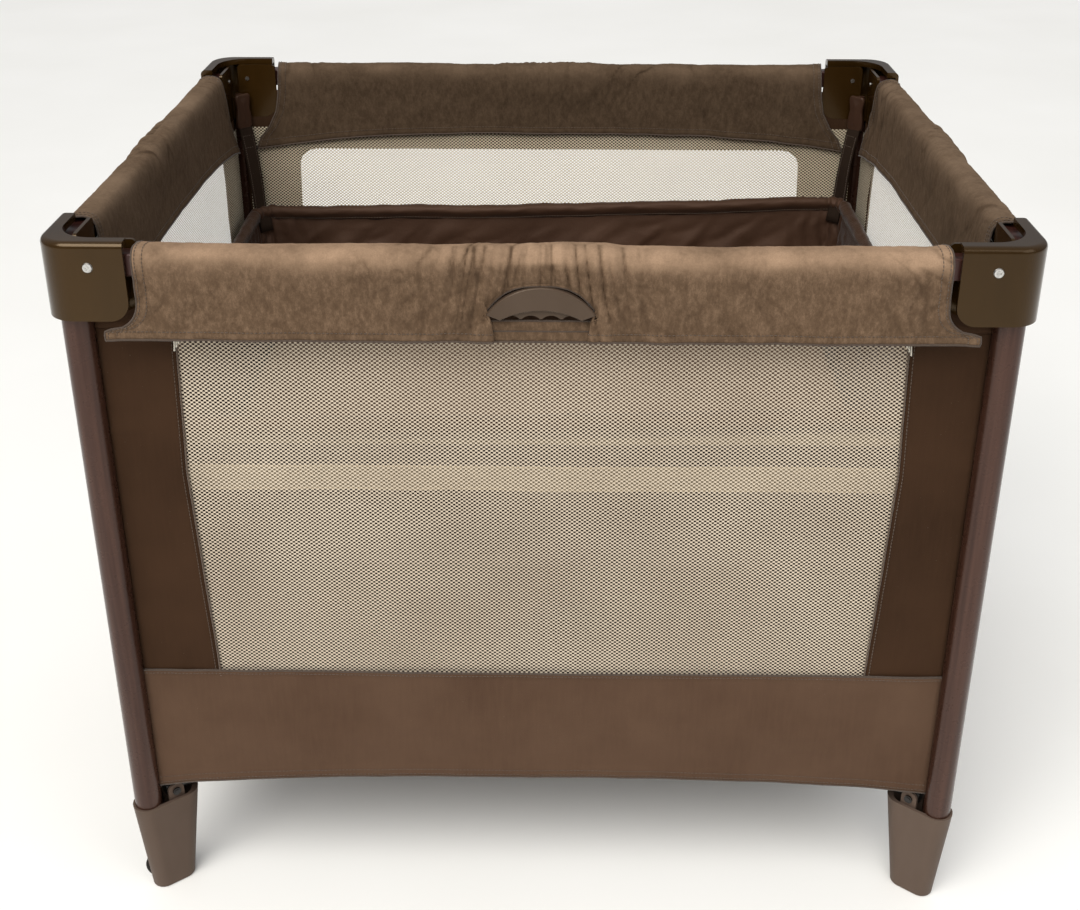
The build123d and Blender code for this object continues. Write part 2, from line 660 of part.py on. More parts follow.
# Bassinet
with BuildPart() as tray:
    with BuildSketch(Plane.XY.offset(TRAY_BASE_Z)):
        RectangleRounded(*TRAY_BASE)
    with BuildSketch(Plane.XY.offset(TRAY_RIM_Z)):
        RectangleRounded(*TRAY_TOP)
    loft()
    with BuildSketch(Plane.XY.offset(TRAY_BASE_Z + TRAY_CLOTH)):
        RectangleRounded(
            TRAY_BASE[0] - 2 * TRAY_CLOTH, TRAY_BASE[1] - 2 * TRAY_CLOTH, TRAY_BASE[2] - TRAY_CLOTH
        )
    with BuildSketch(Plane.XY.offset(TRAY_RIM_Z + 1)):
        RectangleRounded(
            TRAY_TOP[0] - 2 * TRAY_CLOTH, TRAY_TOP[1] - 2 * TRAY_CLOTH, TRAY_TOP[2] - TRAY_CLOTH
        )
    loft(mode=Mode.SUBTRACT)
save(tray, "bassinet_tray")

with BuildPart() as rim:
    rim_length = TRAY_TOP[0] - TRAY_CLOTH * 2
    rim_width = TRAY_TOP[1] - TRAY_CLOTH * 2
    rim_z = TRAY_RIM_Z + RIM_RADIUS + 0.5
    with BuildSketch(Plane.XY.offset(rim_z), mode=Mode.PRIVATE) as rim_plan:
        RectangleRounded(rim_length, rim_width, TRAY_TOP[2] - TRAY_CLOTH)
    rim_path = rim_plan.sketch.face().outer_wire()
    with BuildSketch(Plane(origin=rim_path @ 0, z_dir=rim_path % 0)):
        Circle(RIM_RADIUS)
        Circle(RIM_RADIUS - 1, mode=Mode.SUBTRACT)
    sweep(path=rim_path)
save(rim, "bassinet_rim_tube")

hanger_source = hanger()
with BuildPart() as hangers:
    for sx, sy in CORNERS.values():
        add(mirrored(hanger_source, sx, sy).part)
save(hangers, "bassinet_hangers")

with BuildPart() as mattress:
    with BuildSketch(Plane.XY.offset(TRAY_BASE_Z + TRAY_CLOTH + 0.5)):
        RectangleRounded(MATTRESS[0], MATTRESS[1], TRAY_BASE[2] - TRAY_CLOTH - 2)
    extrude(amount=MATTRESS[2])
save(mattress, "mattress")
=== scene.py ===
"""Visual model of the folding play yard with its hanging bassinet, in metres."""

import math

import bmesh
import bpy
import numpy as np
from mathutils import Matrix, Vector, noise


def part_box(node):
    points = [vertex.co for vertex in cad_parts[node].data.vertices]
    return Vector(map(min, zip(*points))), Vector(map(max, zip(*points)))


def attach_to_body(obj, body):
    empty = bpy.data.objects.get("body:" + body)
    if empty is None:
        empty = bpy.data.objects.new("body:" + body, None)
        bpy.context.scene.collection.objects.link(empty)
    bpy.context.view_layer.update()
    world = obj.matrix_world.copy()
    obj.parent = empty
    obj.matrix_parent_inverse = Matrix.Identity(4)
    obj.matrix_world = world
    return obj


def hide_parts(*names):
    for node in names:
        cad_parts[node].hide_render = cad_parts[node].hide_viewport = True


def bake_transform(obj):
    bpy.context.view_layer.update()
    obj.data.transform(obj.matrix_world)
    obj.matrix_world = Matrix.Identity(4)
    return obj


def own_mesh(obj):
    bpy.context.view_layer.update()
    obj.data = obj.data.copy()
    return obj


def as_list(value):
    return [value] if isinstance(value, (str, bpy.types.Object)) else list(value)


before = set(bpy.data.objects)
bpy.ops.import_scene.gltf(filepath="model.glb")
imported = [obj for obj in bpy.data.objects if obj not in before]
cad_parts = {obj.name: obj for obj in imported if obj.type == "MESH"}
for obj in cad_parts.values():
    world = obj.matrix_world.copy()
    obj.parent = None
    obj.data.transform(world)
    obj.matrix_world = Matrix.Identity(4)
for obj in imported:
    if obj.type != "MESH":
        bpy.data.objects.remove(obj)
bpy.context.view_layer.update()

# ---------------------------------------------------------------- places read from the frame
MM = 0.001


def size(node):
    """Lowest and highest corner of a CAD node, as vectors."""
    low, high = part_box(node)
    return Vector(low), Vector(high)


leg_low, leg_high = size("leg_back_right")
LEG_X = (leg_low.x + leg_high.x) / 2
LEG_Y = (leg_low.y + leg_high.y) / 2
rail_low, rail_high = size("back_rail_right")
RAIL_Z = (rail_low.z + rail_high.z) / 2
RAIL_Y = (rail_low.y + rail_high.y) / 2
side_low, side_high = size("right_rail_back")
RAIL_X = (side_low.x + side_high.x) / 2
COVER_HALF_X = size("front_rail_cover")[1].x
COVER_HALF_Y = size("right_rail_cover")[1].y
panel_low, panel_high = size("front_panel")
PANEL_Y = -(panel_low.y + panel_high.y) / 2
PANEL_Z = PANEL_Y - RAIL_Y
PANEL_HALF_X = panel_high.x
PANEL_HALF_Y = size("right_panel")[1].y
tray_low, tray_high = size("bassinet_tray")
rim_low, rim_high = size("bassinet_rim_tube")
UP = Vector((0, 0, 1))


class Side:
    """One side of the yard: x runs along the rail, y is up from the rail, z is outwards."""

    def __init__(self, number, name, outward, ends, arch):
        self.number = number
        self.name = name
        self.long = name in ("front", "back")
        self.out = Vector(outward)
        self.along = Vector((-outward[1], outward[0], 0))
        self.origin = self.out * (RAIL_Y if self.long else RAIL_X) + UP * RAIL_Z
        self.cover_half = COVER_HALF_X if self.long else COVER_HALF_Y
        self.panel_half = PANEL_HALF_X if self.long else PANEL_HALF_Y
        self.halves = [f"{name}_rail_{end}" for end in ends]
        self.legs = [f"leg_{name}_{end}" if self.long else f"leg_{end}_{name}" for end in ends]
        self.latch = f"{name}_latch"
        self.arch_half, self.arch_end, self.arch_top, self.arch_tip = arch

    def place(self, x, y, z):
        """A point of the side's own frame in the row frame."""
        return self.origin + self.along * x + Vector((0, 0, y)) + self.out * z


# Arch of a cover over its handle: half width at the tips, at the strip, and heights of top and tips
LONG_ARCH = (0.0590, 0.0605, -0.0166, -0.0495)
SHORT_ARCH = (0.0380, 0.0395, -0.0276, -0.0475)

# The ends are named in the order of the side's own x
SIDES = [
    Side(0, "front", (0, -1, 0), ("left", "right"), LONG_ARCH),
    Side(1, "back", (0, 1, 0), ("right", "left"), LONG_ARCH),
    Side(2, "left", (-1, 0, 0), ("back", "front"), SHORT_ARCH),
    Side(3, "right", (1, 0, 0), ("front", "back"), SHORT_ARCH),
]


def corners():
    """Signs in x and y of the yard's four corners, and the words for them in names."""
    for sx in (-1, 1):
        for sy in (-1, 1):
            yield sx, sy, ("front" if sy < 0 else "back") + "_" + ("left" if sx < 0 else "right")


# ---------------------------------------------------------------- materials
class Shader:
    """A Principled material built node by node."""

    def __init__(self, name, **sockets):
        self.mat = bpy.data.materials.new(name)
        self.mat.use_nodes = True
        self.tree = self.mat.node_tree
        self.tree.nodes.clear()
        self.out = self.tree.nodes.new("ShaderNodeOutputMaterial")
        self.bsdf = self.tree.nodes.new("ShaderNodeBsdfPrincipled")
        self.join(self.bsdf.outputs[0], self.out.inputs["Surface"])
        for key, value in sockets.items():
            socket = self.bsdf.inputs[key.replace("_", " ")]
            socket.default_value = (*value, 1) if isinstance(value, tuple) else value
        self.height = None

    def node(self, kind, **settings):
        made = self.tree.nodes.new(kind)
        for key, value in settings.items():
            setattr(made, key, value)
        return made

    def join(self, source, target):
        self.tree.links.new(source, target)

    def coords(self):
        return self.node("ShaderNodeTexCoord").outputs["Object"]

    def split(self, vector):
        """The three numbers of a vector socket."""
        made = self.node("ShaderNodeSeparateXYZ")
        self.join(vector, made.inputs[0])
        return made.outputs

    def noise(self, scale, detail=3.0, roughness=0.5, stretch=(1, 1, 1)):
        """A noise factor, its pattern stretched along the given axes."""
        mapping = self.node("ShaderNodeMapping")
        mapping.inputs["Scale"].default_value = stretch
        self.join(self.coords(), mapping.inputs["Vector"])
        texture = self.node("ShaderNodeTexNoise")
        for key, value in (("Scale", scale), ("Detail", detail), ("Roughness", roughness)):
            texture.inputs[key].default_value = value
        self.join(mapping.outputs[0], texture.inputs["Vector"])
        return texture.outputs["Fac"]

    def ramp(self, factor, stops):
        """A colour ramp; stops are (position, colour), and a plain number is a grey."""
        made = self.node("ShaderNodeValToRGB")
        elements = made.color_ramp.elements
        while len(elements) < len(stops):
            elements.new(0.5)
        for element, (position, colour) in zip(elements, stops):
            element.position = position
            element.color = (*colour, 1) if isinstance(colour, tuple) else (colour, colour, colour, 1)
        self.join(factor, made.inputs["Fac"])
        return made.outputs["Color"]

    def math(self, operation, *values):
        """A maths node; each value is a socket or a number."""
        made = self.node("ShaderNodeMath", operation=operation)
        for socket, value in zip(made.inputs, values):
            if isinstance(value, (int, float)):
                socket.default_value = value
            else:
                self.join(value, socket)
        return made.outputs[0]

    def mix(self, factor, a, b):
        """A colour mix of sockets or colours."""
        made = self.node("ShaderNodeMix", data_type="RGBA")
        for socket, value in ((made.inputs[0], factor), (made.inputs[6], a), (made.inputs[7], b)):
            if isinstance(value, (int, float)):
                socket.default_value = value
            elif isinstance(value, tuple):
                socket.default_value = (*value, 1)
            else:
                self.join(value, socket)
        return made.outputs[2]

    def colour(self, socket):
        self.join(socket, self.bsdf.inputs["Base Color"])

    def rough(self, factor, low, high):
        """Roughness that varies with a factor."""
        made = self.node("ShaderNodeMapRange")
        made.inputs["To Min"].default_value = low
        made.inputs["To Max"].default_value = high
        self.join(factor, made.inputs["Value"])
        self.join(made.outputs[0], self.bsdf.inputs["Roughness"])

    def bump(self, height, distance, strength=1.0):
        """Adds a height on top of the bumps there already."""
        made = self.node("ShaderNodeBump")
        made.inputs["Strength"].default_value = strength
        made.inputs["Distance"].default_value = distance
        self.join(height, made.inputs["Height"])
        if self.height is not None:
            self.join(self.height, made.inputs["Normal"])
        self.height = made.outputs[0]
        self.join(self.height, self.bsdf.inputs["Normal"])

    def uv(self):
        """The two UV coordinates, in millimetres."""
        return self.split(self.node("ShaderNodeUVMap", uv_map="cloth").outputs[0])[:2]

    def attribute(self, name):
        return self.node("ShaderNodeAttribute", attribute_name=name).outputs["Fac"]


def scaled(colour, share):
    return tuple(share * c for c in colour)


def cloth_shader(name, sheen, spread, gloss, **sockets):
    """A cloth: its sheen, how far the sheen spreads, and how glossy its threads are."""
    return Shader(name, Sheen_Weight=sheen, Sheen_Roughness=spread, Specular_IOR_Level=gloss, **sockets)


def moulded(name, dark, light, low, high, coat=0.0, grain=0.00004, gloss=0.22, warm=(1.0, 0.80, 0.58)):
    """Moulded plastic: faint flow marks, a fine grain and scuffed patches."""
    s = Shader(name, Coat_Weight=coat, Coat_Roughness=0.08, Specular_IOR_Level=gloss, Specular_Tint=warm)
    flow = s.noise(9.0, 4.0, 0.6, (1, 1, 0.35))
    s.colour(s.ramp(flow, [(0.3, dark), (0.72, light)]))
    s.rough(s.noise(38.0, 5.0, 0.65), low, high)
    s.bump(s.noise(2600.0, 2.0, 0.5), grain)
    s.bump(s.noise(24.0, 3.0, 0.5), 0.0003, 0.35)
    return s.mat


def painted_tube(name, dark, light, metallic, low, high, stretch=(1, 1, 0.03)):
    """Painted drawn tube: long faint drawing lines, orange peel and small chips."""
    s = Shader(name, Metallic=metallic, Coat_Weight=0.25, Coat_Roughness=0.15, Specular_IOR_Level=0.25)
    lines = s.noise(160.0, 3.0, 0.6, stretch)
    chips = s.noise(210.0, 6.0, 0.75)
    body = s.ramp(lines, [(0.3, dark), (0.7, light)])
    chip = s.ramp(chips, [(0.74, 0.0), (0.79, 1.0)])
    s.colour(s.mix(chip, body, tuple(min(1.0, c * 2.2 + 0.03) for c in light)))
    s.rough(s.noise(46.0, 4.0, 0.6), low, high)
    s.bump(s.noise(900.0, 2.0, 0.5), 0.00003)
    s.bump(lines, 0.00008, 0.5)
    return s.mat


def zinc(name):
    """Zinc plated steel with a brushed, faintly blotched surface."""
    s = Shader(name, Metallic=1.0)
    s.colour(s.ramp(s.noise(420.0, 4.0), [(0.3, (0.42, 0.41, 0.39)), (0.7, (0.74, 0.73, 0.70))]))
    s.rough(s.noise(700.0, 3.0, 0.6), 0.18, 0.42)
    s.bump(s.noise(3000.0, 2.0, 0.5, (1, 1, 0.1)), 0.00002)
    return s.mat


# Value of plain cloth in the painted light and wear attribute: less is painted shade in a valley, more is
# painted paler, partly as top light and partly as wear
NEUTRAL = 0.3


def suede(name, dark, mid, pale, pale_top=0.0):
    """Brushed suede-like cloth: nap marks painted paler and darker as if they caught the light, painted shade
    in the fold valleys, and a paler top that is partly painted top light and partly wear.
    """
    s = cloth_shader(name, 0.22, 0.5, 0.06, Sheen_Tint=pale)
    patches = s.noise(24.0, 8.0, 0.78)
    nap = s.noise(150.0, 6.0, 0.78, (1, 1, 0.6))
    fibre = s.noise(700.0, 4.0, 0.8)
    deep = tuple((a + 2 * b) / 3 for a, b in zip(dark, mid))
    high = tuple((9 * a + b) / 10 for a, b in zip(mid, pale))
    base = s.ramp(patches, [(0.30, deep), (0.50, mid), (0.72, high)])
    # The nap marks paint paler and darker patches where the brushed nap would catch the light.
    base = s.mix(s.ramp(nap, [(0.46, 0.0), (0.72, 0.34)]), base, pale)
    base = s.mix(s.ramp(nap, [(0.28, 0.52), (0.45, 0.0)]), base, dark)
    # Above NEUTRAL the cloth is painted paler along the top, partly as painted top light and partly as wear,
    # in blotches.
    shade = s.attribute("painted_light_and_wear")
    above = s.math("MAXIMUM", s.math("SUBTRACT", shade, NEUTRAL), 0.0)
    painted_light_and_wear = s.math("MULTIPLY", above, pale_top / (1 - NEUTRAL))
    blotch = s.ramp(s.noise(24.0, 5.0, 0.65), [(0.32, 0.45), (0.66, 1.0)])
    base = s.mix(s.math("MULTIPLY", painted_light_and_wear, blotch), base, pale)
    # Below NEUTRAL the cloth is painted darker: painted shade in the valleys of the folds.
    valley = s.math("MAXIMUM", s.math("SUBTRACT", 1.0, s.math("DIVIDE", shade, NEUTRAL)), 0.0)
    base = s.mix(s.math("MULTIPLY", valley, 0.85), base, scaled(dark, 0.7))
    base = s.mix(s.ramp(fibre, [(0.38, 0.0), (0.7, 0.26)]), base, dark)
    s.colour(base)
    s.rough(nap, 0.86, 0.98)
    s.bump(s.noise(1500.0, 3.0, 0.7), 0.00025, 0.7)
    s.bump(s.noise(140.0, 4.0, 0.6, (1, 1, 0.4)), 0.0007, 0.35)
    return s.mat


def weave_height(s, pitch):
    """Over-and-under height of a plain weave."""
    u, v = (s.math("DIVIDE", socket, pitch) for socket in s.uv())
    cell = s.math("ADD", s.math("FLOOR", u), s.math("FLOOR", v))
    parity = s.math("MODULO", s.math("ABSOLUTE", cell), 2.0)
    warp = s.math("ABSOLUTE", s.math("SINE", s.math("MULTIPLY", u, math.pi)))
    weft = s.math("ABSOLUTE", s.math("SINE", s.math("MULTIPLY", v, math.pi)))
    over = s.math("MULTIPLY", warp, parity)
    under = s.math("MULTIPLY", weft, s.math("SUBTRACT", 1.0, parity))
    return s.math("ADD", over, under)


def woven(name, dark, light, pitch=0.7, shine=0.25, depth=0.00016):
    """Plain woven polyester: threads, slubs, soft sheen and a little lint."""
    s = cloth_shader(name, shine, 0.45, 0.08, Sheen_Tint=tuple(min(1.0, 4 * c) for c in light))
    height = weave_height(s, pitch)
    slub = s.noise(260.0, 3.0, 0.6, (1, 1, 0.08))
    cloud = s.noise(7.0, 4.0, 0.6)
    base = s.ramp(cloud, [(0.3, dark), (0.75, light)])
    base = s.mix(s.ramp(slub, [(0.35, 0.0), (0.8, 0.4)]), base, light)
    # Painted shade in the gaps between the threads.
    gap = s.math("MULTIPLY", s.math("SUBTRACT", 1.0, height), 0.45)
    base = s.mix(gap, base, scaled(dark, 0.4))
    lint = s.ramp(s.noise(520.0, 2.0, 0.5), [(0.76, 0.0), (0.8, 0.25)])
    base = s.mix(lint, base, (0.45, 0.40, 0.34))
    s.colour(base)
    s.rough(cloud, 0.72, 0.9)
    s.bump(height, depth, 0.8)
    s.bump(s.noise(55.0, 4.0, 0.6), 0.0011, 0.3)
    return s.mat


def net(name, dark, light, pitch=5.8, row=2.33, level=0.03):
    """Knitted net: staggered oval holes cut by alpha, and raised yarn between them."""
    s = cloth_shader(name, 0.1, 0.5, 0.1, Roughness=0.8)
    u, v = s.uv()
    across = s.math("COSINE", s.math("MULTIPLY", u, 2 * math.pi / pitch))
    down = s.math("COSINE", s.math("MULTIPLY", v, math.pi / row))
    hole = s.math("MULTIPLY", across, down)
    s.join(s.math("LESS_THAN", hole, level), s.bsdf.inputs["Alpha"])
    base = s.ramp(s.noise(5.0, 4.0, 0.6), [(0.3, dark), (0.7, light)])
    # The yarn is painted darker towards the holes: painted shade on its rounded edges.
    yarn = s.math("MULTIPLY", s.math("ADD", hole, 1.0), 0.5)
    s.colour(s.mix(yarn, base, scaled(dark, 0.7)))
    s.bump(s.math("SUBTRACT", 1.0, hole), 0.0004, 0.7)
    return s.mat


def satin(name, dark, light):
    """Dark satin-like lining cloth with fine threads and puckers."""
    s = cloth_shader(name, 0.12, 0.35, 0.30, Specular_Tint=(1.0, 0.72, 0.58))
    height = weave_height(s, 0.45)
    base = s.ramp(s.noise(6.0, 5.0, 0.6), [(0.3, dark), (0.75, light)])
    # Painted highlight on the raised threads.
    s.colour(s.mix(s.math("MULTIPLY", height, 0.3), base, scaled(light, 1.6)))
    s.rough(s.noise(30.0, 4.0, 0.6), 0.42, 0.62)
    s.bump(height, 0.00008, 0.6)
    s.bump(s.noise(40.0, 5.0, 0.62, (1, 1, 0.6)), 0.0022, 0.4)
    return s.mat


def banded(name, dark, mid, pale, bands):
    """The bassinet's outer cloth: plain weave with bands of painted light (low, high, strength) at given
    heights, standing in for light from behind showing through the nets.
    """
    s = cloth_shader(name, 0.1, 0.45, 0.1)
    height = weave_height(s, 0.6)
    level = s.split(s.coords())[2]
    base = s.ramp(s.noise(6.0, 4.0, 0.6), [(0.3, dark), (0.75, mid)])
    # Bands of painted light.
    for low, high, strength in bands:
        above = s.math("GREATER_THAN", level, low)
        below = s.math("LESS_THAN", level, high)
        base = s.mix(s.math("MULTIPLY", s.math("MULTIPLY", above, below), strength), base, pale)
    s.colour(base)
    s.rough(s.noise(30.0, 4.0, 0.6), 0.6, 0.8)
    s.bump(height, 0.0001, 0.7)
    s.bump(s.noise(40.0, 5.0, 0.62), 0.0018, 0.35)
    return s.mat


def thread(name, dark, light):
    """Twisted sewing thread and piping cord."""
    s = Shader(name, Sheen_Weight=0.3, Sheen_Roughness=0.4, Roughness=0.75)
    twist = s.noise(1800.0, 2.0, 0.5, (1, 1, 0.3))
    s.colour(s.ramp(twist, [(0.35, dark), (0.7, light)]))
    s.bump(twist, 0.0001, 0.7)
    return s.mat


# Lowest and highest level of each band of painted light on the tray, light from behind showing through the
# nets, and how pale it is
TRAY_LIGHT_BANDS = ((0.566, 0.600, 0.50), (0.598, 0.601, 0.7), (0.565, 0.568, 0.7), (0.632, 0.650, 0.40))

M = {
    "guard": moulded("guard_gloss", (0.018, 0.0082, 0.0016), (0.033, 0.0155, 0.0034), 0.08, 0.17, coat=0.12,
                     gloss=0.36, warm=(1.0, 0.72, 0.42)),
    "foot": moulded("foot_matte", (0.086, 0.058, 0.044), (0.120, 0.085, 0.066), 0.42, 0.60, grain=0.00012),
    "leg": painted_tube("leg_paint", (0.036, 0.0135, 0.0080), (0.070, 0.031, 0.020), 0.3, 0.20, 0.36),
    "rail": painted_tube("rail_paint", (0.036, 0.012, 0.009), (0.070, 0.024, 0.018), 0.2, 0.25, 0.4),
    "screw": zinc("zinc_plate"),
    "latch": moulded("latch_black", (0.008, 0.006, 0.005), (0.018, 0.014, 0.011), 0.40, 0.58),
    "handle": moulded("handle_satin", (0.062, 0.041, 0.028), (0.086, 0.059, 0.042), 0.26, 0.40, coat=0.15,
                      grain=0.00008),
    "floor_tube": painted_tube("floor_tube_black", (0.006, 0.005, 0.004), (0.016, 0.013, 0.011), 0.1,
                               0.35, 0.55, (0.05, 0.05, 1)),
    "hub": moulded("hub_black", (0.010, 0.009, 0.008), (0.020, 0.018, 0.016), 0.45, 0.65, grain=0.00012),
    "caster": moulded("caster_black", (0.006, 0.006, 0.006), (0.015, 0.015, 0.015), 0.35, 0.6),
    # One suede cloth in three copies: the front one lit and paler along its top, the side covers and the back
    # cover darker as painted shade.
    "suede_front": suede("suede_lit_front", (0.052, 0.031, 0.018), (0.112, 0.070, 0.042),
                         (0.400, 0.265, 0.170), 1.0),
    "suede_side": suede("suede_shaded_side", (0.036, 0.021, 0.0115), (0.092, 0.059, 0.036),
                        (0.225, 0.155, 0.102), 0.6),
    "suede_back": suede("suede_shaded_back", (0.025, 0.0145, 0.0080), (0.064, 0.041, 0.0245),
                        (0.170, 0.114, 0.073), 0.6),
    "border": woven("border_cloth", (0.040, 0.0195, 0.0095), (0.064, 0.032, 0.0165), shine=0.1),
    "skirt": woven("skirt_cloth", (0.092, 0.051, 0.031), (0.132, 0.078, 0.049), shine=0.12),
    "net": net("cream_net", (0.61, 0.505, 0.385), (0.75, 0.64, 0.495)),
    # The side nets: the same cream net painted brighter, as painted light standing in for light shining
    # through the yarn.
    "net_side": net("cream_net_side_lit", (0.66, 0.56, 0.40), (0.80, 0.70, 0.52)),
    "binding": woven("white_binding", (0.84, 0.77, 0.64), (0.95, 0.90, 0.79), 0.8, 0.1),
    "tray": satin("tray_satin", (0.024, 0.0105, 0.0055), (0.050, 0.025, 0.0145)),
    "tray_outer": banded("tray_outer_cloth", (0.027, 0.018, 0.014), (0.046, 0.032, 0.026),
                         (0.62, 0.50, 0.33), TRAY_LIGHT_BANDS),
    "mattress": woven("mattress_cloth", (0.085, 0.052, 0.034), (0.125, 0.082, 0.056), 0.9, 0.12),
    "floor": woven("floor_cloth_weave", (0.060, 0.043, 0.034), (0.100, 0.076, 0.062), 0.8, 0.12),
    "clip": moulded("clip_brown", (0.030, 0.014, 0.008), (0.056, 0.027, 0.017), 0.3, 0.5, coat=0.2),
    "strap": woven("strap_webbing", (0.018, 0.0105, 0.0065), (0.034, 0.021, 0.0135), 1.1, 0.1, 0.0003),
    "thread": thread("brown_thread", (0.050, 0.031, 0.019), (0.125, 0.083, 0.053)),
    "piping": thread("dark_piping", (0.036, 0.021, 0.012), (0.080, 0.051, 0.032)),
}

# The floor tube's pins take the black tube paint, a painted shade that lets them vanish under the skirt.
NODE_MATERIALS = {
    "leg_": "leg", "corner_guard_": "guard", "guard_screws_": "screw", "foot_": "foot",
    "floor_tube_pins_": "floor_tube", "floor_tube_": "floor_tube", "floor_hub": "hub", "caster_": "caster",
    "_latch_pins": "screw", "_latch": "latch", "_handle": "handle", "_rail_": "rail",
    "bassinet_rim_tube": "rail",
}


def paint_nodes():
    """Give every carried-over CAD node its material."""
    for name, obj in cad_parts.items():
        for key, kind in NODE_MATERIALS.items():
            if key in name:
                obj.data.materials.clear()
                obj.data.materials.append(M[kind])
                break


# ---------------------------------------------------------------- mesh helpers
def smooth_step(a, b, x):
    t = min(1.0, max(0.0, (x - a) / (b - a)))
    return t * t * (3 - 2 * t)


def bell(x, width):
    return math.exp(-(x / width) ** 2)


def fractal(x, y, z, octaves=3):
    """Repeatable noise from about -1 to 1.

    Callers multiply places by how fine the pattern is, and use plain numbers to tell patterns apart.
    """
    return noise.fractal(Vector((x, y, z)), 1.0, 2.0, octaves)


def add_object(name, data):
    """A new object of the scene."""
    obj = bpy.data.objects.new(name, data)
    bpy.context.collection.objects.link(obj)
    return obj


def add_work(name, work, materials, smooth=True):
    """A new object made of a work mesh, which ends here."""
    for face in work.faces:
        face.smooth = face.smooth or smooth
    mesh = bpy.data.meshes.new(name)
    work.to_mesh(mesh)
    work.free()
    for material in materials:
        mesh.materials.append(material)
    return add_object(name, mesh)


def change(obj, action):
    """Lets an action change the mesh of an object as a work mesh."""
    work = bmesh.new()
    work.from_mesh(obj.data)
    action(work)
    work.to_mesh(obj.data)
    work.free()


def grid(rows, columns, cell):
    """Lists by row of what cell(row, column) gives: points, UVs in millimetres and perhaps a painted light
    and wear value.

    Rows and columns are lists, or whole numbers of steps.
    """
    rows, columns = (range(steps + 1) if isinstance(steps, int) else steps for steps in (rows, columns))
    table = [[cell(row, column) for column in columns] for row in rows]
    return [[[entry[k] for entry in line] for line in table] for k in range(len(table[0][0]))]


def grid_mesh(name, points, uvs, material, painted_light_and_wear=None, close_u=False, thickness=0.0, keep=None):
    """A smooth quad sheet from rows of points, with UVs and a painted light and wear value, and its loose
    points dropped.
    """
    columns = len(points[0])
    verts = [p for line in points for p in line]
    faces = []
    for i in range(len(points) - 1):
        for j in range(columns - (0 if close_u else 1)):
            k = (j + 1) % columns
            if keep is None or keep(i, j):
                here, below = i * columns, (i + 1) * columns
                faces.append((here + j, here + k, below + k, below + j))
    mesh = bpy.data.meshes.new(name)
    mesh.from_pydata(verts, [], faces)
    mesh.validate()
    layer = mesh.uv_layers.new(name="cloth")
    flat = [uv for line in uvs for uv in line]
    for loop in mesh.loops:
        layer.data[loop.index].uv = flat[loop.vertex_index]
    shades = [w for line in painted_light_and_wear for w in line] if painted_light_and_wear else [0.0] * len(verts)
    mesh.attributes.new("painted_light_and_wear", "FLOAT", "POINT").data.foreach_set("value", shades)
    mesh.materials.append(material)
    obj = add_object(name, mesh)

    def clean(work):
        bmesh.ops.delete(work, geom=[v for v in work.verts if not v.link_faces], context="VERTS")
        bmesh.ops.remove_doubles(work, verts=work.verts, dist=1e-7)
        for face in work.faces:
            face.smooth = True

    change(obj, clean)
    if thickness:
        solid = obj.modifiers.new("cloth", "SOLIDIFY")
        solid.thickness = thickness
        solid.offset = 0
        solid.use_rim = True
    return obj


TUBE_SIDES = 8


def tube_mesh(name, path, radius, material, closed=False, flatten=1.0):
    """A round cord along a list of points, its ends capped."""
    count = len(path)
    rings, uvs = [], []
    travelled = 0.0
    normal = None
    for i, point in enumerate(path):
        ahead = path[(i + 1) % count] if closed or i < count - 1 else point
        behind = path[i - 1] if closed or i > 0 else point
        tangent = (ahead - behind).normalized()
        if normal is None:
            normal = tangent.cross(UP if abs(tangent.z) < 0.9 else Vector((1, 0, 0))).normalized()
        normal = (normal - tangent * normal.dot(tangent)).normalized()
        binormal = tangent.cross(normal)
        if i:
            travelled += (point - path[i - 1]).length
        turns = [2 * math.pi * k / TUBE_SIDES for k in range(TUBE_SIDES)]
        rings.append([point + normal * math.cos(turn) * radius + binormal * math.sin(turn) * radius * flatten
                      for turn in turns])
        uvs.append([(travelled / MM, turn * radius / MM) for turn in turns])
    if closed:
        rings.append(rings[0])
        uvs.append(uvs[0])
    obj = grid_mesh(name, rings, uvs, material, close_u=True)
    if not closed:
        change(obj, lambda work: bmesh.ops.holes_fill(
            work, edges=[e for e in work.edges if e.is_boundary], sides=0))
    return obj


def pipe(path, radius, away=Vector()):
    """Piping along a path of points, moved away from it."""
    return tube_mesh("pipe", [p + away for p in path], radius, M["piping"])


def loft(work, rings):
    """Skins a stack of rings of a work mesh, and caps its ends."""
    count = len(rings[0])
    for first, second in zip(rings, rings[1:]):
        for k in range(count):
            after = (k + 1) % count
            work.faces.new((first[k], first[after], second[after], second[k]))
    work.faces.new(rings[0][::-1])
    work.faces.new(rings[-1])


def walk(path):
    """The length of a path of points, and a function that gives its point at a distance."""
    lengths = [0.0]
    for a, b in zip(path, path[1:]):
        lengths.append(lengths[-1] + (b - a).length)

    def at(distance):
        index = min(len(path) - 2, max(0, int(np.searchsorted(lengths, distance)) - 1))
        span = max(1e-9, lengths[index + 1] - lengths[index])
        return path[index].lerp(path[index + 1], (distance - lengths[index]) / span)

    return lengths[-1], at


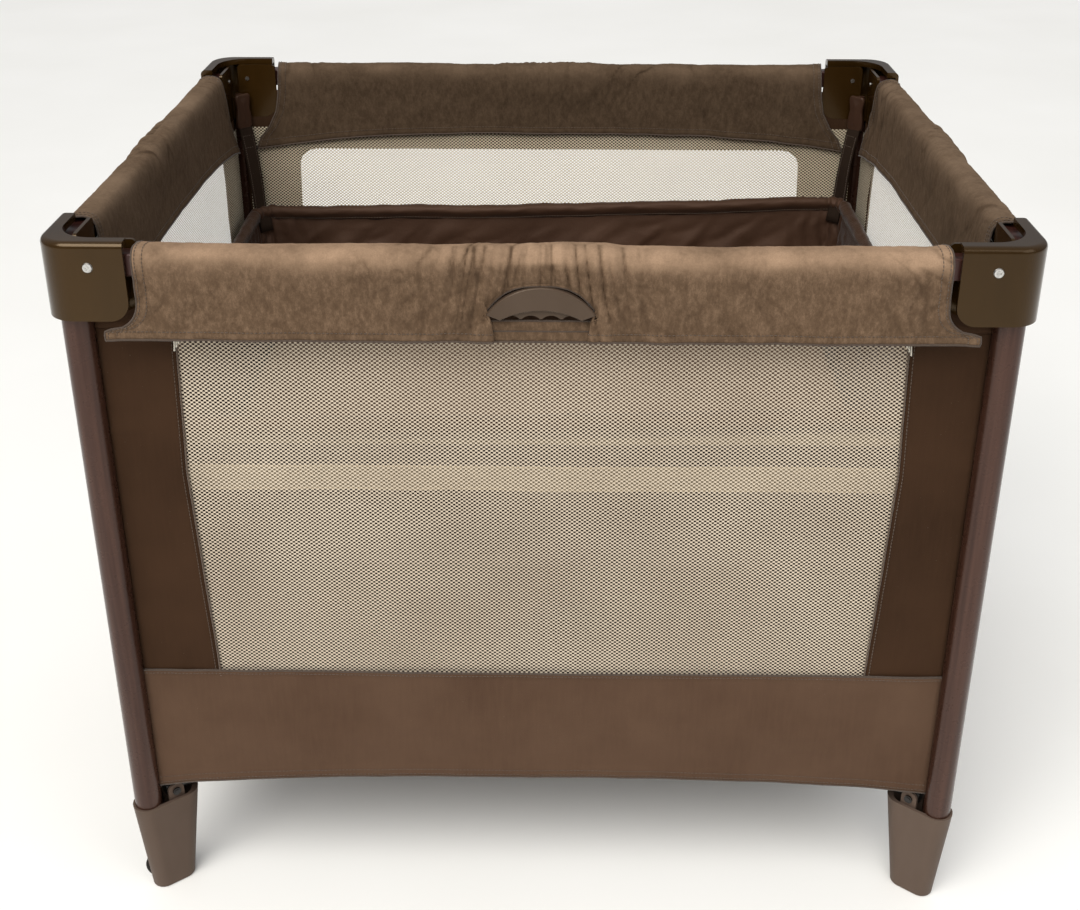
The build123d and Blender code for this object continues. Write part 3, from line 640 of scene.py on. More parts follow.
def stitches(path, away=Vector(), length=3.2, gap=1.2, radius=0.00045):
    """A row of raised stitches along a path of points, moved away from it; length and gap in millimetres."""
    total, at = walk([p + away for p in path])
    work = bmesh.new()
    step = (length + gap) * MM
    for number in range(int(total / step)):
        a = at(number * step)
        b = at(number * step + length * MM)
        tangent = (b - a).normalized()
        side = tangent.orthogonal().normalized()
        up = tangent.cross(side)
        rings = []
        for share, scale in ((0.0, 0.35), (0.2, 1.0), (0.8, 1.0), (1.0, 0.35)):
            centre = a.lerp(b, share)
            rings.append([
                work.verts.new(centre + (side * math.cos(t) + up * math.sin(t)) * radius * scale)
                for t in (k * math.pi / 3 for k in range(6))
            ])
        loft(work, rings)
    return add_work("stitches", work, [M["thread"]])


def merge(name, objects):
    """Join several meshes into one piece."""
    work = bmesh.new()
    materials = []
    for obj in objects:
        start = len(work.faces)
        slots = []
        for mat in obj.data.materials:
            if mat not in materials:
                materials.append(mat)
            slots.append(materials.index(mat))
        work.from_mesh(obj.data)
        work.faces.ensure_lookup_table()
        for face in work.faces[start:]:
            face.material_index = slots[face.material_index]
    for obj in objects:
        bpy.data.objects.remove(obj)
    return add_work(name, work, materials, smooth=False)


def attach(pieces, body, slot, *nodes):
    """Pieces that ride a body and stand for CAD nodes, which are hidden; the slot is not used."""
    for piece in pieces:
        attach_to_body(piece, body)
        if nodes:
            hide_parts(*nodes)


# ---------------------------------------------------------------- rail covers
COVER_LOW = -0.080
COVER_SECTION = [
    (-0.0222, COVER_LOW), (-0.0205, -0.040), (-0.0182, 0.000), (-0.0140, 0.014), (-0.0060, 0.0185),
    (0.0000, 0.0190), (0.0080, 0.0180), (0.0150, 0.0125), (0.0180, 0.000), (0.0185, -0.040),
    (0.0175, COVER_LOW),
]
# Above the shoulder a cover keeps its section; below, it is drawn out to its edge
SHOULDER = 0.010
BLEND_FAR = 0.075
BLEND_NEAR = 0.025
TUCK = 0.0020
TUCK_REACH = 0.008
# The strip under the handle: its top, how far it passes the arch's ends, and how far out it lies
STRIP_TOP = -0.0570
STRIP_HALF = 0.0015
STRIP_OUT = 0.0132
STRIP_BELOW = 0.001
NOTCH_TOP = -0.038
NOTCH_RADIUS = 0.031
TAIL_TOP = -0.066
TAIL_REACH = 0.037
END_REACH = 0.078
# Heights on the inner face and how far past the cover's end it reaches there
INNER_END = [(-0.111, 0.039), (-0.080, 0.038), (-0.067, 0.031), (-0.056, 0.017), (-0.037, 0.004),
             (-0.015, -0.001), (0.010, -0.003)]
INNER_DROP = 0.027
CLOTH = 0.0016
# Points round a cover's section, and steps between its columns of points near its ends and elsewhere
SECTION_POINTS = 97
FINE_STEP = 0.0019
COARSE_STEP = 0.0036
# How far each half of a cover passes the middle, and how far in and out its folds may go
OVERLAP = 0.0007
FOLD_IN = 0.0026
FOLD_OUT = 0.0044
LATCH_BULGE = 0.0022
# Rows of points between a cover's low edge and its seam, and columns between its end and its two seams
SEAM_ROW = 4
END_SEAMS = (2, 6)
# Radii of the piping, and how far stitches lie above a cover
PIPE = 0.0013
SLIM_PIPE = 0.0011
STITCH_LIFT = 0.0013


def section_curve(count):
    """Evenly spaced points round the cover's section, inner edge to outer edge, and its length."""
    dense = []
    pts = [Vector((z, y, 0)) for z, y in COVER_SECTION]
    for i in range(len(pts) - 1):
        a, b = pts[i], pts[i + 1]
        m0 = (b - pts[max(0, i - 1)]) / 2
        m1 = (pts[min(len(pts) - 1, i + 2)] - a) / 2
        for k in range(16):
            t = k / 16
            dense.append(a * (2 * t**3 - 3 * t**2 + 1) + m0 * (t**3 - 2 * t**2 + t)
                         + b * (3 * t**2 - 2 * t**3) + m1 * (t**3 - t**2))
    dense.append(pts[-1])
    total, at = walk(dense)
    return [at(total * i / (count - 1)) for i in range(count)], total


def section_normals(curve):
    """Outward direction at each point of a section."""
    made = []
    for i, point in enumerate(curve):
        tangent = curve[min(len(curve) - 1, i + 1)] - curve[max(0, i - 1)]
        normal = Vector((-tangent.y, tangent.x, 0)).normalized()
        made.append(-normal if normal.dot(Vector((point.x, point.y + 0.03, 0))) < 0 else normal)
    return made


def arch_edge(side, x):
    """Lower edge of the outer face at a distance from the middle: it arches over the handle."""
    x = abs(x)
    if x < side.arch_half:
        return side.arch_top + (side.arch_tip - side.arch_top) * (x / side.arch_half) ** 3
    if x < side.arch_end:
        share = (x - side.arch_half) / (side.arch_end - side.arch_half)
        return side.arch_tip + (COVER_LOW - side.arch_tip) * share
    return COVER_LOW


def drawn_out(y, edge):
    """A height below the shoulder, moved so that the section's lowest point lies on the edge."""
    return SHOULDER + (y - SHOULDER) * (SHOULDER - edge) / (SHOULDER - COVER_LOW)


def end_shift(z, y):
    """How far past the cover's end its edge lies at a point of the section.

    Outside it follows the guard's corner to a tail, and inside it flares towards the leg.
    """
    if y > SHOULDER:
        return INNER_END[-1][1] * smooth_step(0.013, -0.013, z)
    if z < 0:
        return float(np.interp(y, *zip(*INNER_END)))
    if y > NOTCH_TOP:
        return 0.0
    drop = (max(y, TAIL_TOP) - NOTCH_TOP) / NOTCH_RADIUS
    arc = NOTCH_RADIUS * (1 - math.sqrt(max(0.0, 1 - drop**2)))
    return arc + (TAIL_REACH - arc) * smooth_step(TAIL_TOP, TAIL_TOP - 0.004, y)


def cover_folds(side, x, y, z, outer):
    """Height of the gathers and creases of a cover at a point of its side, and the shade they give it."""
    seed = 3.7 * side.number
    x_abs = abs(x)
    centre = math.exp(-((x_abs / (side.arch_end + 0.045)) ** 4))
    ends = smooth_step(side.cover_half - 0.07, side.cover_half, x_abs)
    lean = (0.55 if outer else -0.25) * (y + 0.03) * max(-1.0, min(1.0, x / 0.03))
    warp = fractal(x * 7 + seed, y * 10, z * 8 + seed, 2)
    broad = fractal(x * 8 + seed, y * 13, z * 9)
    layer = seed + (0 if outer else 5)
    crease = abs(fractal((x + lean) * 27 + warp * 1.6, y * 9 + warp, layer, 2)) ** 0.7
    patch = smooth_step(-0.2, 0.4, fractal(x * 5.5 + seed, y * 8, 8.0 + z * 9, 2))
    pleat = abs(fractal((x + 0.3 * lean) * 88 + seed, y * 4.5 + 0.4 * warp, 2.5 + seed, 2)) ** 0.62
    puckers = fractal(x * 150, y * 60 + seed, z * 60, 2)
    low = smooth_step(0.020, -0.06, y)
    amount = (0.0022 if side.name == "front" else 0.0016) * broad
    amount += (0.0042 + 0.0030 * ends) * patch * (crease - 0.42) * (0.5 + 0.5 * low)
    # Painted shade in the creases, stronger on the inner face; on the outer face the gathers get painted
    # light on their ridges and painted shade in their valleys.
    deep = 1.0 if outer else 1.7
    shade = deep * patch * (0.12 * (crease - 0.42) - 0.09 * smooth_step(0.24, 0.03, crease))
    if outer:
        gather = centre * smooth_step(0.021, 0.002, y)
        amount += (0.0078 * gather + 0.0016 * (centre - gather)) * (pleat - 0.42)
        shade += centre * (0.30 * (pleat - 0.48) - 0.08 * smooth_step(0.36, 0.10, pleat))
    return amount + 0.00035 * puckers, shade


def sheet_area(points):
    """Area of a grid of points."""
    total = 0.0
    for upper, lower in zip(points, points[1:]):
        for a, b, c, d in zip(upper, upper[1:], lower[1:], lower):
            total += ((c - a).cross(d - b)).length / 2
    return total


def suede_of(side):
    return M["suede_side"] if not side.long else M[f"suede_{side.name}"]


def half_cover(side, sign):
    """One half of a rail cover as a sheet, from the middle of the latch to the guard."""
    curve, section_length = section_curve(SECTION_POINTS)
    normals = section_normals(curve)
    shifts = [end_shift(p.x, p.y) for p in curve]
    half = side.cover_half
    columns = [-OVERLAP]
    while columns[-1] < half - 1e-6:
        fine = columns[-1] < side.arch_end + 0.03 or columns[-1] > half - END_REACH
        columns.append(min(half, columns[-1] + (FINE_STEP if fine else COARSE_STEP)))

    def cell(i, column):
        z0, y0 = curve[i].x, curve[i].y
        outer = z0 > 0
        over_handle = outer and column < side.arch_end
        x = column + shifts[i] * smooth_step(half - END_REACH, half, column)
        y, z = y0, z0
        if outer and y0 < SHOULDER:
            y = drawn_out(y0, arch_edge(side, column))
            lean = 0.009 * smooth_step(side.arch_tip, side.arch_tip - 0.008, y)
            lean = (lean + 0.004 * (side.arch_tip - y) / 0.03) * (y < side.arch_tip)
            near = smooth_step(0.040, 0.0, column - side.arch_end)
            x -= lean * smooth_step(side.arch_half, side.arch_end, column) * near
        if not outer and y0 < SHOULDER:
            y = drawn_out(y0, COVER_LOW - 0.003 - INNER_DROP * (x / (half + INNER_END[0][1])) ** 3)
        # The folds give a height and a value of painted shade and light.
        fold, painted_fold_shade = cover_folds(side, sign * x, y, z, outer)
        hold = 0.30 + 0.70 * smooth_step(0.0, 0.022, y0 - COVER_LOW)
        if over_handle:
            above = y - arch_edge(side, column)
            hold = min(hold, max(0.2, smooth_step(0.0, 0.010, above)))
            z -= TUCK * (1 - smooth_step(0.0, TUCK_REACH, above))
        fold *= hold
        guard = smooth_step(half - 0.012, half + 0.004, x)
        latch = smooth_step(0.085, 0.062, x) * smooth_step(-0.045, -0.015, y)
        fold = max(-FOLD_IN + 0.0012 * guard, min(FOLD_OUT - 0.0024 * guard, fold)) + LATCH_BULGE * latch
        hem = 0.0012 * bell((y0 - COVER_LOW) - 0.004, 0.003)
        band = 0.0007 * smooth_step(0.0105, 0.0085, half - column)
        sag = 0.0014 * fractal(sign * x * 18, 1.3 + z0 * 40, 2.1 * side.number, 2)
        sag *= smooth_step(-0.045, COVER_LOW, y0) * (0 if x < side.arch_end and outer else 1)
        offset = normals[i] * (fold + hem + band)
        # Paler along the top, partly painted top light and partly rubbed wear, in patches and less where the
        # folds paint shade; the folds then add their painted shade and light.
        top = bell(y0 - 0.014, 0.014)
        pale_top_patches = 0.62 + 0.55 * fractal(sign * x * 12, y0 * 22, 4.2 + side.number)
        pale_top_patches = max(0.0, pale_top_patches + 2.0 * min(0.0, painted_fold_shade))
        return (side.place(sign * x, y + offset.y + sag, z + offset.x),
                (sign * x / MM, section_length * i / (len(curve) - 1) / MM),
                max(0.0, min(1.0, NEUTRAL + 0.8 * top * pale_top_patches + painted_fold_shade)))

    points, uvs, painted_light_and_wear = grid(range(len(curve)), columns, cell)
    name = f"{side.name}_cover_{'a' if sign < 0 else 'b'}"
    obj = grid_mesh(name, points, uvs, suede_of(side), painted_light_and_wear, thickness=CLOTH)
    beyond = [p for p, x in zip(points[-1], columns) if x > side.arch_end - 1e-6]
    arch = [p for p, x in zip(points[-1], columns) if x <= side.arch_end + 1e-6]
    seam = [p for p, x in zip(points[-1 - SEAM_ROW], columns) if x > side.arch_end]
    extras = [
        pipe(beyond, PIPE, side.out * 0.0012),
        pipe(arch, SLIM_PIPE, side.out * 0.0010),
        pipe([line[-1] for line in points], PIPE),
        pipe(points[0], 0.0012, side.out * -0.0010),
        stitches(seam, side.out * STITCH_LIFT),
        stitches(points[SEAM_ROW], side.out * -STITCH_LIFT),
    ]
    lift = []
    for p in curve:
        away = Vector((p.x, max(0.0, p.y) * 0.9, 0)).normalized() * 0.0014
        lift.append(side.out * away.x + Vector((0, 0, away.y)))
    for inward in END_SEAMS:
        extras.append(stitches([line[-1 - inward] + away for line, away in zip(points, lift)]))
    trim = merge(f"{name}_trim", extras)
    for piece in (obj, trim):
        side.place(sign * BLEND_FAR, 0, 0)
        side.place(sign * BLEND_NEAR, 0, 0)
        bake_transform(piece)
        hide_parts(f"{side.name}_rail_cover")
    sheet_area(points)


def under_strip(side):
    """The strip of cover cloth that passes under the handle."""
    width = 2 * (side.arch_end + STRIP_HALF)
    rows, columns = 12, 66

    def cell(i, j):
        x = -width / 2 + width * j / columns
        y = STRIP_TOP + (COVER_LOW - STRIP_BELOW - STRIP_TOP) * i / rows
        bulge = 0.0012 * abs(math.sin(2 * math.pi * i / rows)) + 0.0005 * fractal(x * 30, y * 60, 1.0)
        # The strip's value lies below NEUTRAL: painted shade of its recess under the handle.
        return side.place(x, y, STRIP_OUT + bulge), (x / MM, y / MM), NEUTRAL - 0.06

    points, uvs, painted_light_and_wear = grid(rows, columns, cell)
    obj = grid_mesh(f"{side.name}_cover_strip", points, uvs, suede_of(side), painted_light_and_wear, thickness=CLOTH)
    trim = merge(f"{side.name}_cover_strip_trim", [
        pipe(points[0], SLIM_PIPE, side.out * 0.0010),
        pipe(points[rows // 2], 0.0010, side.out * 0.0006),
        pipe(points[-1], PIPE, side.out * 0.0012),
    ])
    attach((obj, trim), side.latch, "cover_suede")


# ---------------------------------------------------------------- side panels
WINDOW_TOP = -0.081
BACK_WINDOW_DROP = 0.030
WINDOW_CORNER = 0.026
WINDOW_LOW = 0.331 - RAIL_Z
# How far down the window is widest, as a share of its height, and how its edges lean above and below
WIDEST = 0.39
WIDER = 0.005
NARROWER = 0.012
SKIRT_TOP = 0.335 - RAIL_Z
SKIRT_LOW = panel_low.z - RAIL_Z
PANEL_HIGH = -0.018
PANEL_CLOTH = 0.0012
BORDER = 0.0875
NET_TOP = -0.076
HEM_RISE = 0.002
HEM_DROP = 0.017
# How far the net lies behind the panel's middle, reaches below the window and ends short of the legs
NET_BACK = 0.0012
NET_BELOW = 0.010
NET_INSET = 0.006
# How far the border reaches below the window, the skirt lies outside the panel's middle, the stitches
# lie above their cloth, and the border's seam lies from its edge
BORDER_BELOW = 0.004
SKIRT_OUT = 0.0016
PANEL_LIFT = 0.0009
SEAM_INSET = 0.005
# Creases across the border: height in the panel, and how far they stand out
BORDER_CREASES = ((-0.205, 0.0011), (-0.245, 0.0009))


def window_top(side):
    """Upper edge of the window: at the back it lies lower, with rounded corners."""
    return WINDOW_TOP - (BACK_WINDOW_DROP if side.name == "back" else 0.0)


def window_half(side, y):
    """Half width of the window at a height: widest a third of the way down."""
    t = min(1.0, max(0.0, (WINDOW_TOP - y) / (WINDOW_TOP - WINDOW_LOW)))
    full = side.panel_half - BORDER
    depth = window_top(side) - y
    if side.name == "back" and depth < WINDOW_CORNER:
        full -= WINDOW_CORNER - math.sqrt(WINDOW_CORNER**2 - (WINDOW_CORNER - max(0.0, depth)) ** 2)
    if t < WIDEST:
        return full + WIDER * t / WIDEST
    return full + WIDER - NARROWER * (t - WIDEST) / (1 - WIDEST)


def cloth_wave(side, x, y, amount, scale=7.0):
    """Slack of the panel cloth, held still along its edges."""
    hold = smooth_step(0, 0.06, side.panel_half - abs(x)) * smooth_step(0, 0.05, y - SKIRT_LOW)
    hold *= smooth_step(0, 0.05, PANEL_HIGH - y)
    return amount * hold * fractal(x * scale, y * scale, 9.0 + side.number, 3)


def panel_piece(piece, side, *nodes):
    """Rides the side's left or front leg with a mesh of its own, and hides the CAD nodes it stands for."""
    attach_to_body(piece, side.legs[0] if side.name in ("front", "right") else side.legs[1])
    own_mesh(piece)
    if nodes:
        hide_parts(*nodes)


def net_sheet(side):
    """The knitted net: it fills the window and lines the whole panel behind the border cloth."""
    rows, columns = 70, 120
    low = WINDOW_LOW - NET_BELOW
    reach = side.panel_half - NET_INSET

    def cell(i, j):
        y = NET_TOP + (low - NET_TOP) * i / rows
        w = window_half(side, y)
        x = reach * (2 * j / columns - 1)
        share = min(1.0, abs(x) / w)
        slack = 0.004 * math.sin(math.pi * i / rows) * (1 - share**2)
        slack = max(0.0, slack + cloth_wave(side, x, y, 0.0022, 5.0) * (1 - share**2))
        slack += 0.0014 * smooth_step(w, w + 0.012, abs(x))
        bow = 1.2 * math.sin(math.pi * j / columns) * math.sin(math.pi * i / rows)
        return side.place(x, y, PANEL_Z - NET_BACK - slack), (x / MM, y / MM + bow)

    points, uvs = grid(rows, columns, cell)
    obj = grid_mesh(f"{side.name}_net", points, uvs, M["net" if side.name == "front" else "net_side"])
    panel_piece(obj, side)


def surround(side):
    """The woven border round the window, up under the rail cover."""
    half = side.panel_half
    top = window_top(side)
    top_rows, corner_rows, side_rows = 8, 20, 84
    heights = [PANEL_HIGH + (top - PANEL_HIGH) * i / top_rows for i in range(top_rows + 1)]
    heights += [top - WINDOW_CORNER * i / corner_rows for i in range(1, corner_rows + 1)]
    last = heights[-1]
    heights += [last + (WINDOW_LOW - BORDER_BELOW - last) * i / side_rows for i in range(1, side_rows + 1)]
    shares, middle = 12, 60
    left_end, right_start = shares, shares + middle

    def cell(y, j):
        w = window_half(side, y)
        if j <= left_end:
            x = -half + (half - w) * j / shares
        elif j < right_start:
            x = -w + 2 * w * (j - left_end) / middle
        else:
            x = w + (half - w) * (j - right_start) / shares
        lift = cloth_wave(side, x, y, 0.0035, 8.0)
        lift = max(lift, -0.0003) if y > top - 0.001 else lift
        crease = 0.0
        for where, strength in BORDER_CREASES:
            slope = y - where - 0.03 * (half - abs(x))
            crease += strength * bell(slope, 0.0035) * smooth_step(w, half, abs(x))
        return side.place(x, y, PANEL_Z + lift * 0.6 + crease), (x / MM, y / MM)

    points, uvs = grid(heights, right_start + shares, cell)
    height = top - WINDOW_LOW + BORDER_BELOW
    parts = (
        ("top", lambda i, j: i < top_rows, (2 * half, PANEL_HIGH - top), None, 0),
        ("left", lambda i, j: i >= top_rows and j < left_end, (BORDER, height), left_end, -1),
        ("right", lambda i, j: i >= top_rows and j >= right_start, (BORDER, height), right_start, 1),
    )
    for word, kept, flat, column, inward in parts:
        name = f"{side.name}_border_{word}"
        obj = grid_mesh(name, points, uvs, M["border"], thickness=PANEL_CLOTH, keep=kept)
        trims = []
        if column is not None:
            path = [line[column] + side.out * PANEL_LIFT for line in points[top_rows:]]
            row = [p + side.along * inward * SEAM_INSET + side.out * PANEL_LIFT for p in path]
            bind = tube_mesh("bind", path, SLIM_PIPE, M["thread"])
            trims = [merge(f"{side.name}_border_trim_{word}", [bind, stitches(row)])]
        for piece in [obj] + trims:
            panel_piece(piece, side, f"{side.name}_panel")
        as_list(side.legs)


BINDING_TAPES = 5


def corner_bindings(side):
    """The pale corners of the window's binding: tapes side by side, each a little shorter than the last."""
    tapes = []
    for sign in (-1, 1):
        w = window_half(side, WINDOW_TOP)
        for k in range(BINDING_TAPES):
            path = [side.place(sign * (w + 0.0008 - 0.0022 * k + 0.0004 * j), WINDOW_TOP + 0.001 - 0.0045 * j,
                               PANEL_Z + 0.0016 - 0.0002 * k) for j in range(BINDING_TAPES + 2 - k)]
            tapes.append(tube_mesh("corner", path, 0.0016, M["binding"], flatten=0.6))
    panel_piece(merge(f"{side.name}_window_binding", tapes), side)


def skirt(side):
    """The plain cloth below the window, with a seam above and a double-stitched hem below."""
    half = side.panel_half
    rows, columns = 44, 110

    def cell(i, j):
        x = half * (2 * j / columns - 1)
        bottom = SKIRT_LOW + HEM_RISE - (HEM_RISE + HEM_DROP) * abs(x / half) ** 3
        y = SKIRT_TOP + (bottom - SKIRT_TOP) * i / rows
        hold = smooth_step(0, 0.035, half - abs(x))
        belly = 0.0030 * math.sin(math.pi * i / rows) * (1 - (x / half) ** 2)
        low = smooth_step(bottom + 0.05, bottom, y)
        slack = 0.0030 - 0.0020 * low
        lift = hold * (slack * fractal(x * 6, y * 9, 2.0 + side.number, 4) + belly)
        hem = 0.0009 * smooth_step(bottom + 0.016, bottom + 0.013, y)
        seam = 0.0014 * bell(y - SKIRT_TOP + 0.003, 0.003)
        wave = 0.0035 * hold * fractal(x * 9, 3.3, 1.0 + side.number, 2) * low
        point = side.place(x, y + abs(wave) * 0.6, PANEL_Z + SKIRT_OUT + lift + hem + seam)
        return point, (x / MM, y / MM)

    points, uvs = grid(rows, columns, cell)
    obj = grid_mesh(f"{side.name}_skirt", points, uvs, M["skirt"], thickness=PANEL_CLOTH)
    seams = (1, rows - 3, rows - 1)
    extras = [stitches(points[row], side.out * PANEL_LIFT, 3.0, 1.4, 0.0004) for row in seams]
    extras.append(pipe(points[0], 0.0012, side.out * 0.0006))
    extras.append(pipe(points[-1], PIPE, side.out * 0.0002))
    trim = merge(f"{side.name}_skirt_trim", extras)
    for piece in (obj, trim):
        panel_piece(piece, side, f"{side.name}_panel")
    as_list(side.legs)


# ---------------------------------------------------------------- floor cloth
# Its gaps to the panels and the legs' middles
FLOOR_GAP = 0.0020
LEG_CLEAR = 0.0205
FLOOR_LIFT = 0.002
FLOOR_CLOTH = 0.0016
FLOOR_HEM = 0.0018


def floor_quarters():
    """The floor cloth, in four parts that fold up with the floor tubes."""
    low, high = size("floor_cloth")
    half_x = RAIL_X + PANEL_Z - FLOOR_GAP
    half_y = RAIL_Y + PANEL_Z - FLOOR_GAP
    level = (low.z + high.z) / 2
    leg = Vector((LEG_X, LEG_Y, 0))
    count = 46
    for sx, sy, where in corners():
        def cell(i, j):
            x = sx * half_x * i / count
            y = sy * half_y * j / count
            hold = smooth_step(0, 0.06, half_x - abs(x)) * smooth_step(0, 0.06, half_y - abs(y))
            hold *= smooth_step(0, 0.05, abs(x)) * smooth_step(0, 0.05, abs(y))
            lift = 0.010 * hold * max(-0.25, fractal(x * 5, y * 7, 6.0, 4))
            pull = 0.006 * hold * fractal((x - y) * 16, (x + y) * 4, 2.0, 2)
            away = Vector((abs(x), abs(y), 0)) - leg
            if away.length < LEG_CLEAR:
                away *= LEG_CLEAR / away.length
                x, y = sx * (leg.x + away.x), sy * (leg.y + away.y)
            return Vector((x, y, level + FLOOR_LIFT + lift + pull)), (x / MM, y / MM)

        points, uvs = grid(count, count, cell)
        obj = grid_mesh(f"floor_cloth_{where}", points, uvs, M["floor"], thickness=FLOOR_CLOTH)
        edge = [line[-1] for line in points] + points[-1][-2::-1]
        hem = tube_mesh(f"floor_hem_{where}", edge, FLOOR_HEM, M["piping"])
        carrier = f"floor_tube_{where}"
        for piece in (obj, hem):
            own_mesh(piece)
        attach((obj, hem), carrier, "floor_fabric", "floor_cloth")


# ---------------------------------------------------------------- bassinet
RIM_RADIUS = 0.030
BASE_RADIUS = 0.030
BASE_LENGTH = 0.892
BASE_WIDTH = 0.660
ROLL = 0.0085
ROLL_INSET = 0.004
DROP_LEFT = 0.020
# How far each skin lies inside the CAD tray, and how far the walls pass its top and the lining its floor
OUTER_GAP = 0.0006
INNER_GAP = 0.0042
SKIN_OVER = 0.004
INNER_FLOOR = 0.0038
TRAY_CLOTH = 0.0012
# How far a wall may puff in and out
PUFF_IN = 0.006
PUFF_OUT = 0.008


def tray_outline(length, width, radius, straight=(150, 116), corner=16):
    """Points round a rounded rectangle, with the same count at every size, and their angle outwards."""
    made = []
    quarter = [(1, 1), (-1, 1), (-1, -1), (1, -1)]

    def centre(index):
        sx, sy = quarter[index % 4]
        return sx * (length / 2 - radius), sy * (width / 2 - radius)

    for index in range(4):
        (cx, cy), (tx, ty) = centre(index), centre(index + 1)
        start = index * math.pi / 2
        for k in range(corner):
            angle = start + math.pi / 2 * k / corner
            made.append((cx + radius * math.cos(angle), cy + radius * math.sin(angle), angle))
        angle = start + math.pi / 2
        ax, ay = cx + radius * math.cos(angle), cy + radius * math.sin(angle)
        bx, by = tx + radius * math.cos(angle), ty + radius * math.sin(angle)
        run = straight[index % 2]
        for k in range(run):
            t = k / run
            made.append((ax + (bx - ax) * t, ay + (by - ay) * t, angle))
    return made


def distances(outline):
    """How far along an outline each of its points lies."""
    made = [0.0]
    for (ax, ay, _), (bx, by, _) in zip(outline, outline[1:]):
        made.append(made[-1] + math.hypot(bx - ax, by - ay))
    return made


def heading(angle):
    return Vector((math.cos(angle), math.sin(angle), 0))


def at_corner(x, y, near, far):
    """How near a point of the tray is to one of its corners, from 0 to 1."""
    return smooth_step(near, far, abs(x) / tray_high.x) * smooth_step(near, far, abs(y) / tray_high.y)


def rim_drop(x, y):
    """How far the rim hangs below level: a little lower at the left, and in the middle of each side."""
    half_x, half_y = tray_high.x, tray_high.y
    tilt = DROP_LEFT * (0.5 - x / (2 * half_x)) - 0.004
    sag = 0.004 * (1 - (x / half_x) ** 2) * smooth_step(half_y * 0.8, half_y, abs(y))
    return tilt + sag + 0.0018 * fractal(x * 9, y * 9, 4.4, 2)


def tray_skin(name, gap, material, inside):
    """One skin of the bassinet: its walls and its floor in one piece of cloth."""
    base, rim = tray_low.z, tray_high.z + SKIN_OVER
    top = tray_outline(2 * tray_high.x - 2 * gap, 2 * tray_high.y - 2 * gap, RIM_RADIUS - gap)
    foot_x, foot_y = BASE_LENGTH - 2 * gap, BASE_WIDTH - 2 * gap
    low = tray_outline(foot_x, foot_y, BASE_RADIUS - gap)
    wall_rows, floor_rows = 54, 17
    around = distances(top)
    drops = [rim_drop(x, y) for x, y, _ in top]

    def wall(i, k):
        t = i / wall_rows
        (tx, ty, angle), (lx, ly, _) = top[k], low[k]
        far = around[k]
        z = rim - (rim - base) * t - drops[k] * (1 - t)
        hold = smooth_step(0.0, 0.22, t) * smooth_step(1.0, 0.86, t)
        broad = 0.0070 * fractal(tx * 4, ty * 4, z * 7 + 1, 3)
        pull = 0.0075 * (abs(fractal(far * 13 + z * 16, z * 5, 3.0, 2)) ** 0.7 - 0.4)
        creases = 0.0050 * (abs(fractal(far * 6 - z * 9, z * 15, 7.0, 2)) ** 0.7 - 0.4)
        bunch = 0.0050 * at_corner(tx, ty, 0.75, 1.0)
        bunch *= math.sin(far * 260 + 3 * fractal(far * 8, z * 9, 1.0))
        puff = (broad + pull + creases) * hold + bunch * smooth_step(0.0, 0.1, t) * (1 - 0.7 * t)
        puff = max(-PUFF_IN, min(PUFF_OUT, puff)) * (0.85 if inside else 0.35)
        if inside:
            puff = -abs(puff)
        x, y = tx + (lx - tx) * t, ty + (ly - ty) * t
        point = Vector((x + math.cos(angle) * puff, y + math.sin(angle) * puff, z))
        return point, (far / MM, z / MM)

    def floor(i, k):
        share = 1 - i / floor_rows
        x, y = low[k][0] * share, low[k][1] * share
        level = base + (INNER_FLOOR if inside else 0.0)
        ripple = 0.0007 * fractal(x * 12, y * 12, 1.0) * smooth_step(1.0, 0.9, share)
        return Vector((x, y, level + ripple)), (x / MM, y / MM)

    places = range(len(top))
    points, uvs = (walls + floors for walls, floors in zip(
        grid(range(wall_rows + 1), places, wall), grid(range(1, floor_rows + 1), places, floor)))
    obj = grid_mesh(name, points, uvs, material, close_u=True, thickness=TRAY_CLOTH)
    attach([obj], "bassinet", "tray_cloth", "bassinet_tray")


def rim_roll():
    """The cloth casing round the rim tube, gathered along its seam."""
    length, width = 2 * tray_high.x - 2 * ROLL_INSET, 2 * tray_high.y - 2 * ROLL_INSET
    round_rim = tray_outline(length, width, RIM_RADIUS - ROLL_INSET, corner=26)
    level = (rim_low.z + rim_high.z) / 2
    sides = 22
    around = distances(round_rim)

    def ring(down, out):
        """The rim's line, moved down and outwards."""
        return [Vector((x, y, level - rim_drop(x, y) - down)) + heading(angle) * out
                for x, y, angle in round_rim]

    middles = ring(0, 0)

    def cell(i, k):
        x, y, angle = round_rim[i]
        turn = 2 * math.pi * k / sides
        below = max(0.0, -math.sin(turn))
        gather = 0.0012 * fractal(around[i] * 46, math.cos(turn) * 1.5, math.sin(turn) * 1.5, 3)
        gather += 0.0010 * at_corner(x, y, 0.78, 0.95) * math.sin(around[i] * 420 + turn)
        radius = ROLL + gather + 0.0010 * fractal(around[i] * 9, turn * 0.4, 2.0, 2)
        offset = heading(angle) * math.cos(turn) * radius * (1 - 0.25 * below)
        offset += UP * math.sin(turn) * radius * (1 + 0.55 * below)
        return middles[i] + offset, (around[i] / MM, turn * ROLL / MM)

    points, uvs = grid(range(len(round_rim)), range(sides), cell)
    obj = grid_mesh("bassinet_rim_roll", points + points[:1], uvs + uvs[:1], M["tray"], close_u=True,
                    thickness=TRAY_CLOTH)

    extras = []
    for out in (ROLL * 0.80, -ROLL * 0.80):
        seam = ring(ROLL * 1.05, out)
        extras.append(stitches(seam + seam[:1]))
    extras.append(tube_mesh("band", ring(ROLL * 1.9, 0.0042), 0.0022, M["piping"], closed=True))
    trim = merge("bassinet_rim_trim", extras)
    attach((obj, trim), "bassinet", "tray_cloth", "bassinet_rim_tube")


